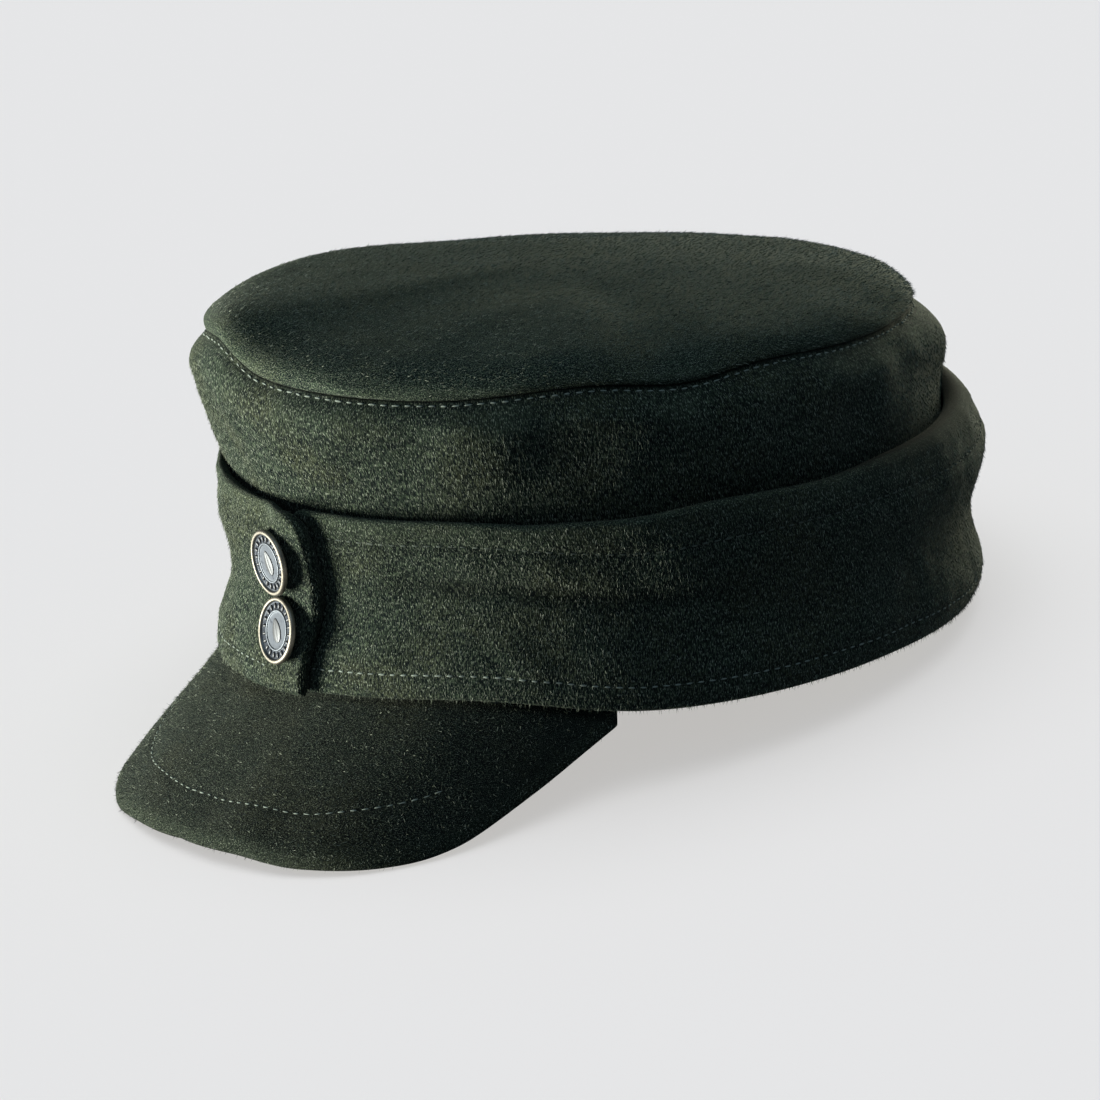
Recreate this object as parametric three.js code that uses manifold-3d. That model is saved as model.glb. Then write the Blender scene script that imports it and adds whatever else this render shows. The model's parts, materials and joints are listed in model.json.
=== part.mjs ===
// A forester's cap of thick green wool cloth: a round crown with a stitched-in top, a curtain that
// is turned up round it and closes over itself at the front under two metal buttons, and a short,
// stiff peak.
//
// Lengths are millimetres and +Z is up. The peak points to -Y and the wearer's left is +X. The cap
// stands as it does on a table, on the two sides of its peak and the back of its rim, and the origin
// is under the middle of its box. Each piece is worked out in the cap's own frame, with its rim near
// the plane z = 0, and is tilted with the others last. Angles go round the cap from the middle of
// the front, 0, past the wearer's left, 90 degrees.

import * as THREE from "three";
import { mergeVertices } from "three/addons/utils/BufferGeometryUtils.js";
import Module from "manifold-3d";

const wasm = await Module();
wasm.setup();

// Crown
const HEAD_LENGTH = 197; // head opening, front to back
const HEAD_WIDTH = 168; // head opening, side to side
const HEAD_EGG = 0.035; // share by which it is narrower in front, and wider behind, than an ellipse
const CROWN_CLOTH = 2.5; // wall of the side and of the top
const CROWN_TUCK = 4.5; // how far the side bends in from the rim's plan to the top seam
const CROWN_PINCH = 4; // the most that the tight curtain pulls the side in
const CROWN_FORWARD = 12; // how far forward of the opening's middle the top seam lies
const SEAM_HEIGHT = 84; // top seam above the rim
const TOP_RISE = 9.5; // middle of the top above its seam
const SEAM_GAP = 0.3; // between two pieces that are sewn together

// Curtain
const CURTAIN_HEIGHT = 51;
const CURTAIN_CLOTH = 3; // two layers of cloth, sewn together
const CURTAIN_STAND = 6.2; // how far its lip stands off the crown at the back
const CURTAIN_UNDERLAP = 24; // hidden end, from the middle of the front, under the tab
const TAB_REACH = 15.5; // length of the tab, from the middle of the front to its end
const TAB_CORNER = 5.5; // radius of the tab's upper corner
const TAB_RECEDE = 5; // how far the tab's lower corner lies behind its end
const TAB_CLOTH = 4.4; // thickness of the tab near its end, where its edges are folded in
const LAYER_GAP = 0.8; // air between the tab and the cloth under it
const CURTAIN_GAP = 0.5; // the least between the curtain and the crown

// Peak
const PEAK_LENGTH = 47; // from the rim to the front edge, along the middle of its upper face
const PEAK_SLOPE = 37.6; // degrees that it falls from the plane of the rim
const PEAK_SPREAD = 57; // degrees round the rim from its middle to either end
const PEAK_CLOTH = 4; // cloth on both faces of a stiff core
const PEAK_ROOT = 5; // width that is sewn in under the crown's wall

// Buttons
const BUTTON_WIDTH = 17;
const BUTTON_THICK = 2.2;
const BUTTON_SPACING = 18.2;
const BUTTON_OFFSET = 3.5; // from the middle of the front towards the wearer's left
const BUTTON_DROP = 24.2; // middle of the pair below the curtain's upper edge
const BUTTON_STAND = 1; // air between a button and the tab
const SHANK_WIDTH = 3;
const SHANK_CLEARANCE = 0.3;

// How the cap stands
const REST_FLAT = 0.4; // depth by which the cloth is pressed flat where it stands

// Fineness of the meshes
const CROWN_STEPS = 60;
const CURTAIN_STEPS = 66;
const PEAK_STEPS = 34;
const BUTTON_STEPS = 24;

// Side of the crown, from the rim to the seam: tuck is the share by which it is bent in, lean the
// share of the crown's way forward and pull the share of the curtain's pull.
const SIDE_LEVELS = [
  { up: 0.0, tuck: 0.0, lean: 0.0, pull: 0.0 },
  { up: 0.13, tuck: 0.08, lean: -0.04, pull: 0.5 },
  { up: 0.28, tuck: 0.2, lean: -0.08, pull: 1.0 },
  { up: 0.45, tuck: 0.32, lean: 0.1, pull: 0.5 },
  { up: 0.6, tuck: 0.35, lean: 0.38, pull: 0.0 },
  { up: 0.74, tuck: 0.07, lean: 0.6, pull: 0.0 },
  { up: 0.86, tuck: -0.16, lean: 0.78, pull: 0.0 },
  { up: 0.93, tuck: 0.02, lean: 0.9, pull: 0.0 },
  { up: 1.0, tuck: 1.0, lean: 1.0, pull: 0.0 },
];

// Top of the crown, from the seam to its middle: reach is a share of the seam's plan and rise of
// the top's rise.
const TOP_LEVELS = [
  { reach: 1.0, rise: 0.0 },
  { reach: 1.009, rise: 0.16 },
  { reach: 0.999, rise: 0.38 },
  { reach: 0.966, rise: 0.6 },
  { reach: 0.9, rise: 0.78 },
  { reach: 0.77, rise: 0.91 },
  { reach: 0.55, rise: 0.98 },
  { reach: 0.28, rise: 1.0 },
];

// Soft dents in the top: reach is a share of the seam's plan, width of the head's width and depth
// of the top's rise.
const TOP_DENTS = [
  { angle: 6, reach: 0.7, width: 0.14, depth: 0.12 },
  { angle: 92, reach: 0.8, width: 0.12, depth: 0.14 },
  { angle: 200, reach: 0.55, width: 0.2, depth: 0.1 },
];

// Round the cap: rises and falls of the rim and of the top seam, as shares of the seam's height,
// and the curtain's pull on the crown's side, as a share of the most that it pulls.
const WAVES = [
  { angle: 0, rim: -0.015, seam: 0.955, pull: 0.2 },
  { angle: 18, rim: 0.01, seam: 0.935, pull: 0.1 },
  { angle: 38, rim: 0.025, seam: 0.935, pull: 0.1 },
  { angle: 60, rim: -0.022, seam: 0.965, pull: 0.1 },
  { angle: 74, rim: -0.025, seam: 0.945, pull: 0.1 },
  { angle: 88, rim: -0.015, seam: 0.975, pull: 0.1 },
  { angle: 106, rim: 0.0, seam: 0.965, pull: 0.1 },
  { angle: 140, rim: 0.0, seam: 0.955, pull: 0.35 },
  { angle: 180, rim: 0.0, seam: 0.925, pull: 0.3 },
  { angle: 240, rim: 0.0, seam: 0.905, pull: 0.3 },
  { angle: 290, rim: 0.0, seam: 0.97, pull: 0.7 },
  { angle: 322, rim: 0.005, seam: 0.98, pull: 1.0 },
  { angle: 345, rim: -0.015, seam: 1.02, pull: 0.6 },
];

// The curtain round the crown: foot, waist, lip and edge are how far its inner face stands off the
// crown near the rim, at its narrowest, at its widest and at its top edge, as shares of how far
// its lip stands off at the back.
const CURTAIN_STATIONS = [
  { angle: 0, height: 0.98, foot: 0.1, waist: 0.0, lip: 0.1, edge: 0.1 },
  { angle: 30, height: 0.94, foot: 0.1, waist: 0.0, lip: 0.15, edge: 0.25 },
  { angle: 60, height: 0.96, foot: 0.1, waist: 0.0, lip: 0.3, edge: 0.5 },
  { angle: 75, height: 1.0, foot: 0.15, waist: 0.05, lip: 0.55, edge: 0.6 },
  { angle: 100, height: 1.0, foot: 0.2, waist: 0.1, lip: 0.6, edge: 0.45 },
  { angle: 125, height: 1.02, foot: 0.42, waist: 0.08, lip: 1.0, edge: 0.6 },
  { angle: 150, height: 1.06, foot: 0.45, waist: 0.1, lip: 1.15, edge: 0.65 },
  { angle: 180, height: 1.06, foot: 0.4, waist: 0.2, lip: 1.0, edge: 0.65 },
  { angle: 225, height: 1.02, foot: 0.3, waist: 0.1, lip: 0.6, edge: 0.5 },
  { angle: 270, height: 1.0, foot: 0.2, waist: 0.05, lip: 0.4, edge: 0.4 },
  { angle: 310, height: 0.97, foot: 0.2, waist: 0.0, lip: 0.1, edge: 0.0 },
  { angle: 335, height: 0.98, foot: 0.15, waist: 0.0, lip: 0.05, edge: 0.0 },
];

// Heights up the curtain, as shares of its height, at which the columns above hold.
const CURTAIN_FOOT = 0.12;
const CURTAIN_WAIST = 0.45;
const CURTAIN_LIP = 0.79;

// Closed section of the curtain's cloth: up is a share of its height, to which trim adds a share of
// its thickness; across is a share of its thickness, from its inner face, 0, to its outer face, 1.
const CURTAIN_SECTION = [
  { up: 0.0, trim: 0.5, across: 1.0 },
  { up: 0.14, trim: 0, across: 1.0 },
  { up: 0.3, trim: 0, across: 1.0 },
  { up: 0.46, trim: 0, across: 1.0 },
  { up: 0.62, trim: 0, across: 1.0 },
  { up: 0.76, trim: 0, across: 1.0 },
  { up: 0.9, trim: 0, across: 1.0 },
  { up: 1.0, trim: -0.45, across: 1.0 },
  { up: 1.0, trim: -0.12, across: 0.85 },
  { up: 1.0, trim: 0, across: 0.5 },
  { up: 1.0, trim: -0.12, across: 0.15 },
  { up: 1.0, trim: -0.45, across: 0.0 },
  { up: 0.87, trim: 0, across: 0.0 },
  { up: 0.74, trim: 0, across: 0.0 },
  { up: 0.6, trim: 0, across: 0.0 },
  { up: 0.46, trim: 0, across: 0.0 },
  { up: 0.31, trim: 0, across: 0.0 },
  { up: 0.16, trim: 0, across: 0.0 },
  { up: 0.0, trim: 0.5, across: 0.0 },
  { up: 0.0, trim: 0.12, across: 0.15 },
  { up: 0.0, trim: 0, across: 0.5 },
  { up: 0.0, trim: 0.12, across: 0.85 },
];

// Length of the peak forward of each point of the rim, as a share of its length along the middle;
// at is a share of its spread.
const PEAK_OUTLINE = [
  { at: 0.0, length: 1.0 },
  { at: 0.25, length: 1.04 },
  { at: 0.5, length: 1.11 },
  { at: 0.71, length: 1.075 },
  { at: 0.85, length: 0.89 },
  { at: 0.93, length: 0.51 },
  { at: 0.98, length: 0.18 },
  { at: 1.0, length: 0.05 },
];

// Face of a button, from its middle to its back: out is a share of its radius and deep a share of
// its thickness.
const BUTTON_FACE = [
  { out: 0.0, deep: 0.12 },
  { out: 0.3, deep: 0.2 },
  { out: 0.5, deep: 0.34 },
  { out: 0.82, deep: 0.3 },
  { out: 0.87, deep: 0.02 },
  { out: 0.94, deep: 0.0 },
  { out: 1.0, deep: 0.3 },
  { out: 0.98, deep: 0.62 },
  { out: 0.7, deep: 1.0 },
];

const { degToRad, radToDeg, lerp, clamp, euclideanModulo, smoothstep } = THREE.MathUtils;

// One column of a table at x, on a smooth curve through its rows. With a period, the last row runs
// on to the first.
function read(rows, key, column, x, period = 0) {
  const count = rows.length;
  const knot = (i) => {
    const lap = period ? Math.floor(i / count) : 0;
    const row = rows[period ? i - lap * count : clamp(i, 0, count - 1)];
    return { x: row[key] + lap * period, y: row[column] };
  };
  const at = period ? euclideanModulo(x - rows[0][key], period) + rows[0][key] : x;
  let i = 0;
  while (i < count - (period ? 1 : 2) && knot(i + 1).x <= at) i += 1;
  const [before, from, to, after] = [knot(i - 1), knot(i), knot(i + 1), knot(i + 2)];
  const span = to.x - from.x;
  const startSlope = (to.y - before.y) / (to.x - before.x);
  const endSlope = (after.y - from.y) / (after.x - from.x);
  const t = clamp((at - from.x) / span, 0, 1);
  return (
    from.y * (1 + 2 * t) * (1 - t) ** 2 +
    startSlope * span * t * (1 - t) ** 2 +
    to.y * t * t * (3 - 2 * t) +
    endSlope * span * t * t * (t - 1)
  );
}

const aroundCap = (rows, column, angle) => read(rows, "angle", column, radToDeg(angle), 360);
const rimHeight = (angle) => SEAM_HEIGHT * aroundCap(WAVES, "rim", angle);
const seamHeight = (angle) => SEAM_HEIGHT * aroundCap(WAVES, "seam", angle);
const curtainHeight = (angle) => CURTAIN_HEIGHT * aroundCap(CURTAIN_STATIONS, "height", angle);

// Plan of the crown's outside at the rim
function plan(angle) {
  const halfWidth = HEAD_WIDTH / 2 + CROWN_CLOTH;
  const halfLength = HEAD_LENGTH / 2 + CROWN_CLOTH;
  const narrowing = 1 - HEAD_EGG * Math.cos(angle);
  return new THREE.Vector2(halfWidth * Math.sin(angle) * narrowing, -halfLength * Math.cos(angle));
}

// Direction square to the crown's outside, seen from above.
function outward(angle) {
  const along = plan(angle + 0.01).sub(plan(angle - 0.01)).normalize();
  return new THREE.Vector2(along.y, -along.x);
}

// Angle that lies a length round the rim from the middle of the front.
function angleAt(length) {
  return length / (HEAD_WIDTH / 2 + CROWN_CLOTH) / (1 - HEAD_EGG);
}

// Point off the crown's side: share is how far up it lies from the rim to the seam, and offset how
// far outside.
function sidePoint(angle, share, offset) {
  const at = (column) => read(SIDE_LEVELS, "up", column, share);
  const pinch = CROWN_PINCH * at("pull") * aroundCap(WAVES, "pull", angle);
  const inward = CROWN_TUCK * at("tuck") + pinch;
  const place = plan(angle).addScaledVector(outward(angle), offset - inward);
  const height = lerp(rimHeight(angle), seamHeight(angle), share);
  return new THREE.Vector3(place.x, place.y - CROWN_FORWARD * at("lean"), height);
}

// Plan of the top seam
function seamPlan(angle) {
  const point = sidePoint(angle, 1, 0);
  return new THREE.Vector2(point.x, point.y);
}

// Closed mesh over rows of points, each row a closed loop. The last row runs on to the first, or
// else each of the two end rows is closed by a fan round a given point.
function skin(rows, fanPoints) {
  const width = rows[0].length;
  const points = rows.flat();
  const faces = [];
  const bands = fanPoints ? rows.length - 1 : rows.length;
  for (let i = 0; i < bands; i += 1) {
    const next = ((i + 1) % rows.length) * width;
    for (let j = 0; j < width; j += 1) {
      const beside = (j + 1) % width;
      faces.push(i * width + j, next + beside, i * width + beside);
      faces.push(i * width + j, next + j, next + beside);
    }
  }
  if (fanPoints) {
    const [first, last] = [points.length, points.length + 1];
    points.push(...fanPoints);
    for (let j = 0; j < width; j += 1) {
      const beside = (j + 1) % width;
      faces.push(first, j, beside);
      faces.push(last, first - width + beside, first - width + j);
    }
  }
  const geometry = new THREE.BufferGeometry().setFromPoints(points);
  geometry.setIndex(faces);
  return geometry;
}

function middleOf(row) {
  return row.reduce((sum, point) => sum.add(point), new THREE.Vector3()).divideScalar(row.length);
}

// A closed geometry as a solid that can be joined and cut.
function solid(geometry) {
  const bare = new THREE.BufferGeometry();
  bare.setAttribute("position", geometry.getAttribute("position"));
  bare.setIndex(geometry.index);
  const merged = mergeVertices(bare, 1e-4);
  const vertProperties = new Float32Array(merged.getAttribute("position").array);
  const triVerts = new Uint32Array(merged.index.array);
  return new wasm.Manifold(new wasm.Mesh({ numProp: 3, vertProperties, triVerts }));
}

function geometryOf(body) {
  const mesh = body.getMesh();
  const geometry = new THREE.BufferGeometry();
  geometry.setAttribute("position", new THREE.BufferAttribute(mesh.vertProperties, 3));
  geometry.setIndex(new THREE.BufferAttribute(mesh.triVerts, 1));
  return geometry;
}

// Side of the crown: one wall from the rim to the top seam.
function crownSide() {
  const top = 1 - SEAM_GAP / SEAM_HEIGHT;
  const levels = [0, 0.13, 0.28, 0.45, 0.6, 0.74, 0.86, 0.93, 0.97, top];
  const outside = levels.map((up) => [up, 0]);
  const inside = levels.toReversed().map((up) => [up, -CROWN_CLOTH]);
  const section = [...outside, ...inside];
  const rows = [];
  for (let i = 0; i < CROWN_STEPS; i += 1) {
    const angle = (i / CROWN_STEPS) * 2 * Math.PI;
    rows.push(section.map(([up, offset]) => sidePoint(angle, up, offset)));
  }
  return skin(rows);
}

// Depth of the dents at a place in the top's plan.
function dentDepth(place) {
  const middle = new THREE.Vector2(0, -CROWN_FORWARD);
  return TOP_DENTS.reduce((sum, dent) => {
    const bottom = middle.clone().lerp(seamPlan(degToRad(dent.angle)), dent.reach);
    const away = bottom.distanceTo(place) / (dent.width * HEAD_WIDTH);
    return sum + TOP_RISE * dent.depth * Math.exp(-(away ** 2));
  }, 0);
}

// Top of the crown: a shallow dome, which bulges a little over its seam.
function crownTop() {
  const radius = (HEAD_LENGTH + HEAD_WIDTH) / 4;
  const middle = new THREE.Vector2(0, -CROWN_FORWARD);
  const loop = (level, i, depth) => {
    const below = TOP_LEVELS[Math.max(i - 1, 0)];
    const above = TOP_LEVELS[Math.min(i + 1, TOP_LEVELS.length - 1)];
    const run = radius * (above.reach - below.reach);
    const climb = TOP_RISE * (above.rise - below.rise);
    const inward = new THREE.Vector2(-climb, run).normalize().multiplyScalar(depth);
    const row = [];
    for (let k = 0; k < CROWN_STEPS; k += 1) {
      const angle = (k / CROWN_STEPS) * 2 * Math.PI;
      const place = middle.clone().lerp(seamPlan(angle), level.reach);
      place.addScaledVector(outward(angle), inward.x);
      const foot = lerp(SEAM_HEIGHT, seamHeight(angle), Math.min(level.reach, 1) ** 2);
      const rise = (TOP_RISE - dentDepth(place)) * level.rise + (i === 0 ? 0 : inward.y);
      row.push(new THREE.Vector3(place.x, place.y, foot + rise));
    }
    return row;
  };
  const outside = TOP_LEVELS.map((level, i) => loop(level, i, 0));
  const inside = TOP_LEVELS.map((level, i) => loop(level, i, CROWN_CLOTH));
  const peakOfTop = SEAM_HEIGHT + TOP_RISE - dentDepth(middle);
  const summit = (depth) => new THREE.Vector3(middle.x, middle.y, peakOfTop - depth);
  return skin([...outside.toReversed(), ...inside], [summit(0), summit(CROWN_CLOTH)]);
}

// How far the curtain's inner face stands off the crown, a share of the way up it.
function standOff(angle, up) {
  const levels = [
    { up: 0, stand: 0 },
    { up: CURTAIN_FOOT, stand: aroundCap(CURTAIN_STATIONS, "foot", angle) },
    { up: CURTAIN_WAIST, stand: aroundCap(CURTAIN_STATIONS, "waist", angle) },
    { up: CURTAIN_LIP, stand: aroundCap(CURTAIN_STATIONS, "lip", angle) },
    { up: 1, stand: aroundCap(CURTAIN_STATIONS, "edge", angle) },
  ];
  return CURTAIN_GAP + CURTAIN_STAND * Math.max(0, read(levels, "up", "stand", up));
}

const curtainStart = angleAt(-CURTAIN_UNDERLAP);
const curtainEnd = 2 * Math.PI + angleAt(TAB_REACH);

// Thickness of the curtain's cloth
function curtainCloth(angle) {
  return lerp(CURTAIN_CLOTH, TAB_CLOTH, smoothstep(angle, 2 * Math.PI, curtainEnd));
}

// Point of the curtain, at a height above the rim and an offset from its inner face.
function curtainPoint(angle, height, offset) {
  const over = smoothstep(angle, 2 * Math.PI + curtainStart * 2.6, 2 * Math.PI + curtainStart);
  const stand = standOff(angle, clamp(height / curtainHeight(angle), 0, 1));
  const away = stand + (CURTAIN_CLOTH + LAYER_GAP) * over;
  return sidePoint(angle, height / (seamHeight(angle) - rimHeight(angle)), away + offset);
}

// The curtain: one long strip, from its hidden end round the crown to the tab that covers it.
function curtain() {
  const corner = angleAt(TAB_CORNER);
  const angles = [];
  for (let i = 0; i <= CURTAIN_STEPS; i += 1) {
    angles.push(lerp(curtainStart, curtainEnd - corner, i / CURTAIN_STEPS));
  }
  for (const share of [0.35, 0.6, 0.8, 0.93, 1]) angles.push(curtainEnd - corner * (1 - share));
  const rows = angles.map((angle) => {
    const intoCorner = clamp(1 - (curtainEnd - angle) / corner, 0, 1);
    const height = curtainHeight(angle) - TAB_CORNER * (1 - Math.sqrt(1 - intoCorner ** 2));
    const nearEnd = smoothstep(angle, curtainEnd - angleAt(3 * TAB_RECEDE), curtainEnd);
    return CURTAIN_SECTION.map((point) => {
      const z = point.up * height + point.trim * CURTAIN_CLOTH;
      const recede = angleAt(TAB_RECEDE) * nearEnd * (1 - smoothstep(z / CURTAIN_HEIGHT, 0, 0.6));
      return curtainPoint(angle - recede, z, point.across * curtainCloth(angle));
    });
  });
  return skin(rows, [middleOf(rows[0]), middleOf(rows[rows.length - 1])]);
}

// The peak: a stiff board, bent to the rim's curve, whose faces run straight forward and down from the rim.
function peak() {
  const fall = degToRad(PEAK_SLOPE);
  const rows = [];
  for (let i = 0; i <= PEAK_STEPS; i += 1) {
    const at = lerp(1, -1, i / PEAK_STEPS);
    const share = Math.sin((at * Math.PI) / 2);
    const angle = degToRad(PEAK_SPREAD) * share;
    const length = PEAK_LENGTH * read(PEAK_OUTLINE, "at", "length", Math.abs(share));
    const root = plan(angle);
    const below = rimHeight(angle) - SEAM_GAP;
    const tucked = root.clone().addScaledVector(outward(angle), -PEAK_ROOT);
    const along = (reach) => {
      const [forward, down] = [reach * Math.cos(fall), reach * Math.sin(fall)];
      return new THREE.Vector3(root.x, root.y - forward, below - down);
    };
    const upper = [new THREE.Vector3(tucked.x, tucked.y, below)];
    for (const reach of [0, 0.25, 0.5, 0.75]) upper.push(along(length * reach));
    upper.push(along(Math.max(length - PEAK_CLOTH / 2, length * 0.9)));
    const lower = upper.map((p) => p.clone().setZ(p.z - PEAK_CLOTH)).toReversed();
    const edge = along(length);
    rows.push([...upper, edge.setZ(edge.z - PEAK_CLOTH / 2), ...lower]);
  }
  return skin(rows, [middleOf(rows[0]), middleOf(rows[rows.length - 1])]);
}

const buttonAngle = 2 * Math.PI + angleAt(BUTTON_OFFSET);
const buttonCloth = curtainCloth(buttonAngle);

// Frame of a button: its origin is on the tab's face, and +Y points away from the cap.
function buttonFrame(height) {
  const face = (turn, rise) => curtainPoint(buttonAngle + turn, height + rise, buttonCloth);
  const across = face(0.05, 0).sub(face(-0.05, 0)).normalize();
  const up = face(0, 3).sub(face(0, -3)).normalize();
  const away = across.clone().cross(up).normalize();
  const frame = new THREE.Matrix4().makeBasis(up.clone().cross(away), away, up.clone().negate());
  return frame.setPosition(face(0, 0));
}

// A button with its shank, which goes through the tab.
function button() {
  const radius = BUTTON_WIDTH / 2;
  const face = BUTTON_FACE.map((row) => [row.out * radius, BUTTON_STAND + BUTTON_THICK * (1 - row.deep)]);
  const foot = SEAM_GAP - buttonCloth - LAYER_GAP;
  const shank = [[SHANK_WIDTH / 2, BUTTON_STAND], [SHANK_WIDTH / 2, foot], [0, foot]];
  const profile = [...face, ...shank].toReversed();
  return new THREE.LatheGeometry(profile.map(([r, y]) => new THREE.Vector2(r, y)), BUTTON_STEPS);
}

// Hole through the tab for a shank
function shankHole() {
  const radius = SHANK_WIDTH / 2 + SHANK_CLEARANCE;
  const [inside, outside] = [-buttonCloth - LAYER_GAP / 2, BUTTON_STAND];
  const hole = new THREE.CylinderGeometry(radius, radius, outside - inside, BUTTON_STEPS / 2);
  return hole.translate(0, (inside + outside) / 2, 0);
}

const pairMiddle = curtainHeight(buttonAngle) - BUTTON_DROP;
const frames = [0.5, -0.5].map((share) => buttonFrame(pairMiddle + BUTTON_SPACING * share));
const holes = frames.map((frame) => solid(shankHole().applyMatrix4(frame)));
const pieces = {
  crown_side: solid(crownSide()),
  crown_top: solid(crownTop()),
  curtain: holes.reduce((body, hole) => body.subtract(hole), solid(curtain())),
  peak: solid(peak()),
  button_upper: solid(button().applyMatrix4(frames[0])),
  button_lower: solid(button().applyMatrix4(frames[1])),
};

// Lowest height of some solids when the whole cap is tilted.
function lowest(bodies, tilt) {
  return Math.min(...bodies.map((body) => body.rotate([tilt, 0, 0]).boundingBox().min[2]));
}

// Tilt at which the peak and the back of the rim are equally low.
function restTilt() {
  let [more, less] = [-30, 0];
  for (let i = 0; i < 30; i += 1) {
    const tilt = (more + less) / 2;
    if (lowest([pieces.peak], tilt) < lowest([pieces.crown_side, pieces.curtain], tilt)) less = tilt;
    else more = tilt;
  }
  return (more + less) / 2;
}

const tilt = restTilt();
const floor = lowest(Object.values(pieces), tilt) + REST_FLAT;
const standing = Object.entries(pieces).map(([name, body]) => {
  return [name, body.rotate([tilt, 0, 0]).translate([0, 0, -floor]).trimByPlane([0, 0, 1], 0)];
});

const WOOL = { color: 0x2f3b2f, roughness: 0.95, metalness: 0 };
const METAL = { color: 0x8f8d86, roughness: 0.4, metalness: 1 };

const cap = new THREE.Group();
for (const [name, body] of standing) {
  const geometry = geometryOf(body);
  geometry.computeVertexNormals();
  const finish = name.startsWith("button") ? METAL : WOOL;
  const mesh = new THREE.Mesh(geometry, new THREE.MeshStandardMaterial(finish));
  mesh.name = name;
  cap.add(mesh);
}

const middle = new THREE.Box3().setFromObject(cap).getCenter(new THREE.Vector3());
for (const mesh of cap.children) mesh.geometry.translate(-middle.x, -middle.y, 0);

export default cap;
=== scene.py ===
"""Looks of a forester's cap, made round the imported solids: wool cloth, stitches, nap and relief buttons."""

import json

import bmesh
import bpy
import numpy as np
from bpy.props import FloatProperty, FloatVectorProperty, PointerProperty
from mathutils import Matrix, Vector

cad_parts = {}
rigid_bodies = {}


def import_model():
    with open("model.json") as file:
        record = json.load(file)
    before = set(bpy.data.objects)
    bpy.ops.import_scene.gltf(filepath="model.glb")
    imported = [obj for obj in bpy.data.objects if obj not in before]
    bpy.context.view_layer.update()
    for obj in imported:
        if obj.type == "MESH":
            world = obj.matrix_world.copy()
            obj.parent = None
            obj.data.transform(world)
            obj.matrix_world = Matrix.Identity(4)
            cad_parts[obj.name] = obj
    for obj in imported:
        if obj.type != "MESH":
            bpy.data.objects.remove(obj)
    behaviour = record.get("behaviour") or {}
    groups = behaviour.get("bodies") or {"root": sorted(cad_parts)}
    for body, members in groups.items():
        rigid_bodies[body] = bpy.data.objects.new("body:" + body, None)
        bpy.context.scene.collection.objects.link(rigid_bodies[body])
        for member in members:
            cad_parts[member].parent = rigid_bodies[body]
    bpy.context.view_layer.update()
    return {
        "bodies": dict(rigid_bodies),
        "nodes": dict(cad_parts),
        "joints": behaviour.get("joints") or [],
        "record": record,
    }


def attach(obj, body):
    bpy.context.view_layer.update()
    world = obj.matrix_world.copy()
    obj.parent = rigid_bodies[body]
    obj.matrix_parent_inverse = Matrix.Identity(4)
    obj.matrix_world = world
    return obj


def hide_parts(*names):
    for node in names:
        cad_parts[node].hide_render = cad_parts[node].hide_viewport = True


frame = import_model()

bl_info = {
    "name": "Forester's Cap",
    "version": (1, 0, 0),
    "blender": (4, 5, 0),
    "location": "View3D > Sidebar > Cap",
    "description": "Cloth, stitches, nap and buttons of a forester's cap",
    "category": "Object",
}

MM = 0.001
TURN = 2 * np.pi
BODY = "root"
CLOTH_UV = "ClothUV"
ROUND_COLUMNS = 420

# How far each row of stitches lies from its edge, and the width of its shade.
SEAM_STITCH = 1.3 * MM
UPPER_STITCH = 8.0 * MM
LOWER_STITCH = 6.5 * MM
PEAK_STITCH = 12.0 * MM
ROW_SHADE = 0.9 * MM

# From where to where the rows run: round the cap as angles, and along the peak as a share of its half.
UPPER_ROW = (0.06, TURN - 0.6)
LOWER_ROW = (0.06, TURN - 0.03)
PEAK_ROW = (-0.72, 0.72)
PEAK_ROW_FADE = (0.7, 0.76)

# Soft forms that the solids leave out: the crease across the curtain, its edge closing over the underlap, the
# lower end of the underlap with the angles of its slope, and the puff over the seam in front.
CREASE_HEIGHT = 28.5 * MM
CREASE_DEPTH = 1.5 * MM
LAP_CLOSING = 3.4 * MM
UNDERLAP_DROP = 9 * MM
UNDERLAP_SLOPE = (0.0, 0.16)
FRONT_PUFF = 1.8 * MM

# Where they are round the cap: each grows between the first two angles and fades between the last two.
CREASE_SPAN = (0.25, 0.6, 0.9, 1.5)
LAP_SPAN = (TURN - 1.1, TURN - 0.45, TURN, TURN + 0.12)
LIP_SPAN = (1.35, 1.9, 3.9, 4.6)
# The last is where the curtain carries a painted shadow at the back, on its lip and its inner face.
LIP_SHADE_SPAN = (1.5, 2.0, 3.2, 3.6)

# The buttons against the solids: further towards the tab's end, out on their shanks, and further apart.
BUTTON_SHIFT = 1.3 * MM
BUTTON_LIFT = 0.5 * MM
BUTTON_SPREAD = 1.02

# A button: where its dark ring lies, as shares of its radius, and the depth of its ground as a share of its
# thickness. The bars and the leaf are shares of its width and thickness.
GROOVE_SPAN = (0.6, 0.66, 0.8, 0.86)
RELIEF_GROUND = 0.33
BAR_COUNT = 20
BAR_RING = 0.365
BAR_SIZE = (0.105, 0.05, 0.34)
LEAF_LENGTH, LEAF_WIDTH, LEAF_DOME, LEAF_EDGE, LEAF_VEIN = 0.38, 0.22, 0.1, 0.08, 0.06

# Nap of each cloth: how much the fibres rise from their lay, and how much they stray.
NAP_WAYS = (("side", 0.22, 0.35), ("top", 0.2, 0.55), ("curtain", 0.22, 0.4), ("peak", 0.2, 1.1))
FIRST_SEED = 40
TOP_LAY = np.radians(50)

# Finish of each cloth: width and length of its flecks in mm, how far its shade varies, strength of its bumps.
# The peak's low third value darkens its whole cloth: painted shade, a darker copy of the wool for the little
# light it gets.
FINISHES = {
    "side": (0.32, 1.8, 0.78, 0.6),
    "top": (0.4, 0.55, 1.0, 0.25),
    "curtain": (0.32, 1.7, 0.78, 0.65),
    "peak": (0.46, 0.46, 0.32, 0.6),
}

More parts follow.
